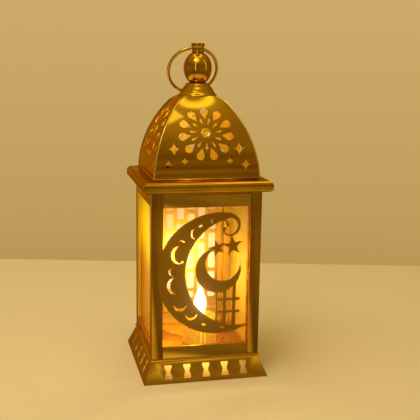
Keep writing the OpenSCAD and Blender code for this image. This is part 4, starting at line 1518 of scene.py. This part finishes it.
@dataclass
class Finial:
    """The collar, egg and cap on top, and the rod that draws them down."""

    collar_line: Sequence[tuple[float, float]] = (
        (1.0, 0.0), (0.995, 0.03), (0.93, 0.115), (0.84, 0.35), (0.745, 0.6), (0.63, 0.82), (0.6, 0.93),
        (0.56, 0.985), (0.5, 1.0))
    collar_wall: float = 0.9 * MM
    collar_top: float = 0.8 * MM
    rod_hole: float = 2.1 * MM
    egg_wide: float = 0.49
    egg_low: float = 0.585
    egg_top: float = 3.96 * MM
    egg_steps: int = 24
    neck: float = 4.3 * MM
    neck_mm: Sequence[tuple[float, float]] = ((-0.15, 0.0), (0.0, 0.15), (0.0, 3.3), (0.1, 3.6))
    flare_mm: Sequence[tuple[float, float]] = ((-0.12, 4.2), (0.0, 4.5))
    crown_mm: Sequence[tuple[float, float]] = ((0.0, -0.62), (-0.16, -0.2), (-0.5, -0.03), (-0.9, 0.0))
    ring_rise: float = 2.7 * MM
    ring_hole: float = 2.1 * MM
    drill_reach: float = 20.0 * MM

    def collar(self) -> bpy.types.Mesh:
        """Make the pressed collar.

        Returns:
            A closed mesh.
        """
        low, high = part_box("finial_collar")
        radius, height, under = high.x, high.z - low.z, high.z - self.collar_top
        outer = [(share * radius, low.z + rise * height) for share, rise in self.collar_line]
        inner = [(max(r - self.collar_wall, self.rod_hole), min(z, under)) for r, z in reversed(outer)]
        return lathe([*outer, (self.rod_hole, high.z), (self.rod_hole, under), *inner, outer[0]], sharp=50.0)

    def egg(self) -> bpy.types.Mesh:
        """Make the egg, with its widest place below the middle.

        Returns:
            A closed mesh.
        """
        low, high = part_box("finial_egg")
        radius, height = high.x, high.z - low.z
        below = (self.egg_wide / self.egg_low, self.egg_wide)
        above = (math.sqrt(1 - (self.egg_top / radius) ** 2), 1 - self.egg_wide)
        line = [(0.0, low.z)]
        for step in range(-self.egg_steps, self.egg_steps + 1):
            t = step / self.egg_steps
            draw, reach = below if t < 0 else above
            wide = radius * math.sqrt(1 - (t * draw) ** 2)
            line.append((wide, low.z + height * (self.egg_wide + reach * t)))
        return lathe([*line, (0.0, high.z)], steps=128, sharp=60.0)

    def cap(self) -> bpy.types.Mesh:
        """Make the cap with the bore that the ring runs through.

        Returns:
            A closed mesh.
        """
        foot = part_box("finial_egg")[1].z
        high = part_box("finial_cap")[1]
        line = [(0.0, foot), *beside((self.neck, foot), *self.neck_mm)]
        line += [*beside((high.x, foot), *self.flare_mm), *beside((high.x, high.z), *self.crown_mm)]
        line.append((0.0, high.z))
        holder = linked("cap", lathe(line, sharp=35.0))
        bit, reach = self.ring_hole, self.drill_reach
        drill = linked("drill", lathe([(0.0, -reach), (bit, -reach), (bit, reach), (0.0, reach)], steps=48))
        drill.data.transform(placed((0.0, 0.0, foot + self.ring_rise), 90.0, "Y"))
        hole = holder.modifiers.new("hole", "BOOLEAN")
        hole.object = drill
        hole.operation = "DIFFERENCE"
        mesh = plain(holder)
        bpy.data.objects.remove(drill)
        return mesh

    def build(self) -> None:
        """Make the finial."""
        settle("finial_collar_pressed", self.collar(), "turned", "gold_turned", "finial_collar")
        settle("finial_egg_polished", self.egg(), "turned", "gold_turned", "finial_egg")
        settle("finial_cap_turned", self.cap(), "turned", "gold_turned", "finial_cap")
        for node in ("finial_rod", "finial_washer", "finial_nut"):
            dress_node(node, "zinc")


@dataclass
class CarryRing:
    """The wire ring through the cap."""

    radius: float = 18.3 * MM
    wire: float = 1.15 * MM
    tilt: float = 26.75
    slide: float = 6.5
    ease: float = 0.5 * MM
    hole_rise: float = 2.7 * MM
    gap: float = 0.9
    steps: int = 160
    sides: int = 20

    def build(self) -> None:
        """Make the ring, with its butted ends hidden in the cap."""
        pivot = (0.0, 0.0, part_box("finial_egg")[1].z + self.hole_rise)
        slide, gap = math.radians(self.slide), math.radians(self.gap)
        centre = (-self.radius * math.sin(slide), 0.0, -self.radius * math.cos(slide) + self.ease)
        vertices = []
        for step in range(self.steps + 1):
            a = math.pi / 2 - slide + gap + (math.tau - 2 * gap) * step / self.steps
            for k in range(self.sides):
                b = math.tau * k / self.sides
                r = self.radius + self.wire * math.cos(b)
                vertices.append((r * math.cos(a), self.wire * math.sin(b), r * math.sin(a)))
        last = self.steps * self.sides
        faces = [*swept(self.steps + 1, self.sides), range(self.sides), range(last, last + self.sides)]
        mesh = smooth(shell(vertices, faces), 50.0)
        mesh.transform(placed(pivot, self.tilt, "X") @ Matrix.Translation(centre))
        settle("carry_ring_wire", mesh, "wire", "gold_turned", "carry_ring", body="ring")


@dataclass
class BackDoor:
    """The hinged door at the back: frame, milky pane, lattice, knob and hinges."""

    edge_mm: float = 0.25
    thin_edge_mm: float = 0.1
    pin_edge_mm: float = 0.12
    catch_edge_mm: float = 0.08
    window_w: float = 5.8 * MM
    window_h: float = 13.4 * MM
    bar: float = 2.9 * MM
    border: float = 1.5 * MM
    round_off: float = 1.6 * MM
    lattice_edge: float = 0.10 * MM
    stem_mm: Sequence[tuple[float, float]] = ((0.0, -3.0), (0.9, -3.0), (0.9, 0.0))
    rose: Sequence[tuple[float, float]] = ((0.78, 0.0), (0.8, 0.15), (0.78, 0.5), (0.6, 0.75))
    neck_mm: Sequence[tuple[float, float]] = ((0.95, 0.85), (0.85, 1.3))
    neck_turn: float = 0.36
    ball_steps: int = 18
    rivet_head: float = 1.1 * MM
    rivet_sink: float = 0.5 * MM
    rivet_step: float = 6.0 * MM
    rivet_flat: float = 0.45

    def lattice(self) -> bpy.types.Mesh:
        """Make the lattice: rounded windows in rows, every other column set half a step lower.

        Returns:
            A closed mesh with eased edges.
        """
        low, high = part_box("door_lattice")
        width, height, thick = high.x - low.x, high.z - low.z, high.y - low.y
        step, rise = self.window_w + self.bar, self.window_h + self.bar
        columns = int((width - 2 * self.border + self.bar) // step)
        rows = int((height - 2 * self.border + self.bar) // rise)
        short = (self.window_h - self.bar) / 2
        tree = GeometryTree("lattice_windows")
        wide = tree.size("Window width", self.window_w)
        window, stub = (self.window(tree, wide, tree.size(f"{name} height", tall))
                        for name, tall in (("Window", self.window_h), ("Stub", short)))
        tools = []
        for odd in (0, 1):
            across, up = (columns + 1 - odd) // 2, rows - odd
            shift = ((across - 1 + odd - (columns - 1) / 2) * step, 0.0, 0.0)
            span = 2 * step * (across - 1)
            spots = tree.grid(span, rise * (up - 1), across, up)
            tools.append(tree.set_in(tree.copies(spots, window), shift))
            if odd:
                ends = tree.grid(span, up * rise + short + self.bar, across, 2)
                tools.append(tree.set_in(tree.copies(ends, stub), shift))
        plate = tree.node("GeometryNodeMeshCube", {}, {"Size": (width, height, thick)})
        mesh = tree.mesh(tree.cut(plate, *tools), "fretwork")
        mesh.transform(placed((low + high) / 2, 90.0, "X"))
        return eased(mesh, self.lattice_edge, 2, 40.0)

    def window(self, tree: GeometryTree, width: Value, height: Value) -> Value:
        """Shape the prism that cuts one window with rounded corners.

        Args:
            tree: the tree that it is made in.
            width: the window's width.
            height: its height.

        Returns:
            The prism.
        """
        corners = {"Curve": tree.rectangle(width, height), "Count": 6, "Radius": self.round_off}
        outline = tree.node("GeometryNodeFilletCurve", {"mode": "POLY"}, corners)
        return tree.drawn_along(tree.line((0, 0, -2 * MM), (0, 0, 2 * MM)), outline, True)

    def knob(self) -> bpy.types.Mesh:
        """Make the turned knob on its rose.

        Returns:
            A closed mesh.
        """
        low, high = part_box("door_knob")
        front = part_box("door_frame")[1].y
        radius = (high.x - low.x) / 2
        line = [*beside((0.0, 0.0), *self.stem_mm), *((radius * share, up * MM) for share, up in self.rose)]
        line += beside((0.0, 0.0), *self.neck_mm)
        ball = (0.0, high.y - front - radius)
        line += arc(ball, radius, self.neck_turn - math.pi / 2, math.pi / 2, self.ball_steps)
        mesh = lathe(line, steps=48, sharp=50.0)
        mesh.transform(placed(((low.x + high.x) / 2, front, (low.z + high.z) / 2), -90.0, "X"))
        return mesh

    def rivets(self, node: str) -> bpy.types.Mesh:
        """Make the domed rivets that stand for a node's, one on each of its solids.

        Args:
            node: the CAD node.

        Returns:
            One mesh of them all.
        """
        low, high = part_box(node)
        first, last = low.z + self.rivet_head, high.z - self.rivet_head
        tree = GeometryTree("rivets_" + node)
        radius = tree.size("Head radius", self.rivet_head)
        head = tree.node("GeometryNodeMeshUVSphere", {}, {"Segments": 24, "Rings": 12, "Radius": radius})
        x, y, z = tree.coordinates()
        flat = tree.moved(head, tree.vector(x, y.math("MAXIMUM", 0.0) * self.rivet_flat, z))
        places = [tree.set_in(flat, ((low.x + high.x) / 2, high.y - self.rivet_sink, centre))
                  for centre in (first, first + self.rivet_step, last - self.rivet_step, last)]
        mesh = tree.mesh(tree.joined(*places), "hinge")
        mesh.shade_smooth()
        return mesh

    def build(self) -> None:
        """Make the door and its hinges."""
        # The frame's faces towards the candle take the painted candle glow.
        refine("door_frame", "profile", "gold_sheet", self.edge_mm, "door", "painted_glow_profile")
        settle("door_lattice_cut", self.lattice(), "lattice", "gold_fretwork", "door_lattice", body="door")
        refine("door_pane", "milk", "milk_pane", self.thin_edge_mm, "door")
        settle("door_knob_turned", self.knob(), "turned", "gold_turned", "door_knob", body="door")
        refine("hinge_door_leaves", "hinge", "hinge_brass", self.thin_edge_mm, "door")
        refine("hinge_post_leaves", "hinge", "hinge_brass", self.thin_edge_mm)
        refine("hinge_pins", "zinc", "zinc_steel", self.pin_edge_mm)
        for node, body in (("hinge_post_rivets", "lantern"), ("hinge_door_rivets", "door")):
            settle(f"{node}_domed", self.rivets(node), "hinge", "hinge_brass", node, body=body)
        refine("door_catch", "zinc", "zinc_steel", self.catch_edge_mm)


@dataclass
class Candle:
    """The electric candle that stands loose on the tray."""

    case_edge: float = 0.25 * MM
    plastic_edge_mm: float = 0.2
    flange: float = 6.2 * MM
    flange_h: float = 1.2 * MM
    wide: float = 4.8 * MM
    waist: float = 0.68
    belly: float = 0.38
    taper: float = 1.3
    lean: float = 0.5 * MM
    swell_steps: int = 12
    taper_steps: int = 18
    watts: float = 0.095
    light_colour: Colour = (1.0, 0.86, 0.40)
    light_radius: float = 4.5 * MM
    light_rise: float = 20.0 * MM

    def flame(self) -> bpy.types.Mesh:
        """Make the flame, drawn out to a leaning tip.

        Returns:
            A closed mesh.
        """
        low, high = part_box("candle_flame")
        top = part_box("candle_case")[1].z
        tall, shoulder = high.z - top, low.z + self.flange_h
        line = [(0.0, low.z), (self.flange, low.z), (self.flange, shoulder)]
        line.append((self.wide * self.waist, shoulder))
        for step in range(self.swell_steps + 1):
            t = step / self.swell_steps
            share = self.waist + (1 - self.waist) * math.sin(t * math.pi / 2)
            line.append((self.wide * share, top + tall * self.belly * t))
        for step in range(1, self.taper_steps + 1):
            t = step / self.taper_steps
            share = math.cos(t * math.pi / 2) ** self.taper
            line.append((self.wide * share, top + tall * (self.belly + (1 - self.belly) * t)))
        mesh = lathe(line, (low + high) / 2, steps=64, sharp=70.0)
        for vertex in mesh.vertices:
            rise = max(0.0, (vertex.co.z - top) / tall)
            vertex.co.x += self.lean * math.sin(rise * 3.0) * rise
        return mesh

    def light(self) -> None:
        """Put the flame's light inside the lantern."""
        data = bpy.data.lights.new("flame_light", "POINT")
        data.energy = self.watts
        data.color = self.light_colour
        data.shadow_soft_size = self.light_radius
        lamp = linked("flame_light", data)
        lamp.location = (*FLAME_PLACE[:2], FLAME_PLACE[2] + self.light_rise)
        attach(lamp, "candle")

    def build(self) -> None:
        """Make the candle."""
        case = eased(merged_copy("candle_case"), self.case_edge, 3)
        settle("candle_case_moulded", case, "candle", "candle_gold", "candle_case", body="candle")
        settle("candle_flame_lit", self.flame(), "flame", "flame", "candle_flame", body="candle")
        for node, look in (("candle_lamp", "lamp"), ("candle_board", "board"), ("candle_carrier", "carrier"),
                           ("candle_contact", "hinge"), ("coin_cell", "cell")):
            dress_node(node, look)
        refine("switch_slider", "black", "black_plastic", self.plastic_edge_mm, "switch")
        refine("battery_cover", "cover", "cover_plastic", self.plastic_edge_mm, "cover")
        self.light()


def main() -> None:
    """Build the lantern, logging each part as it is done."""
    logging.basicConfig(level=logging.INFO, format="%(name)s: %(message)s")
    for part in (Studio, Base, Cage, Panes, MoonOrnament, Roof, Dome, Finial, CarryRing, BackDoor, Candle):
        part().build()
        LOG.info("%s done", part.__name__)


if __name__ == "__main__":
    main()
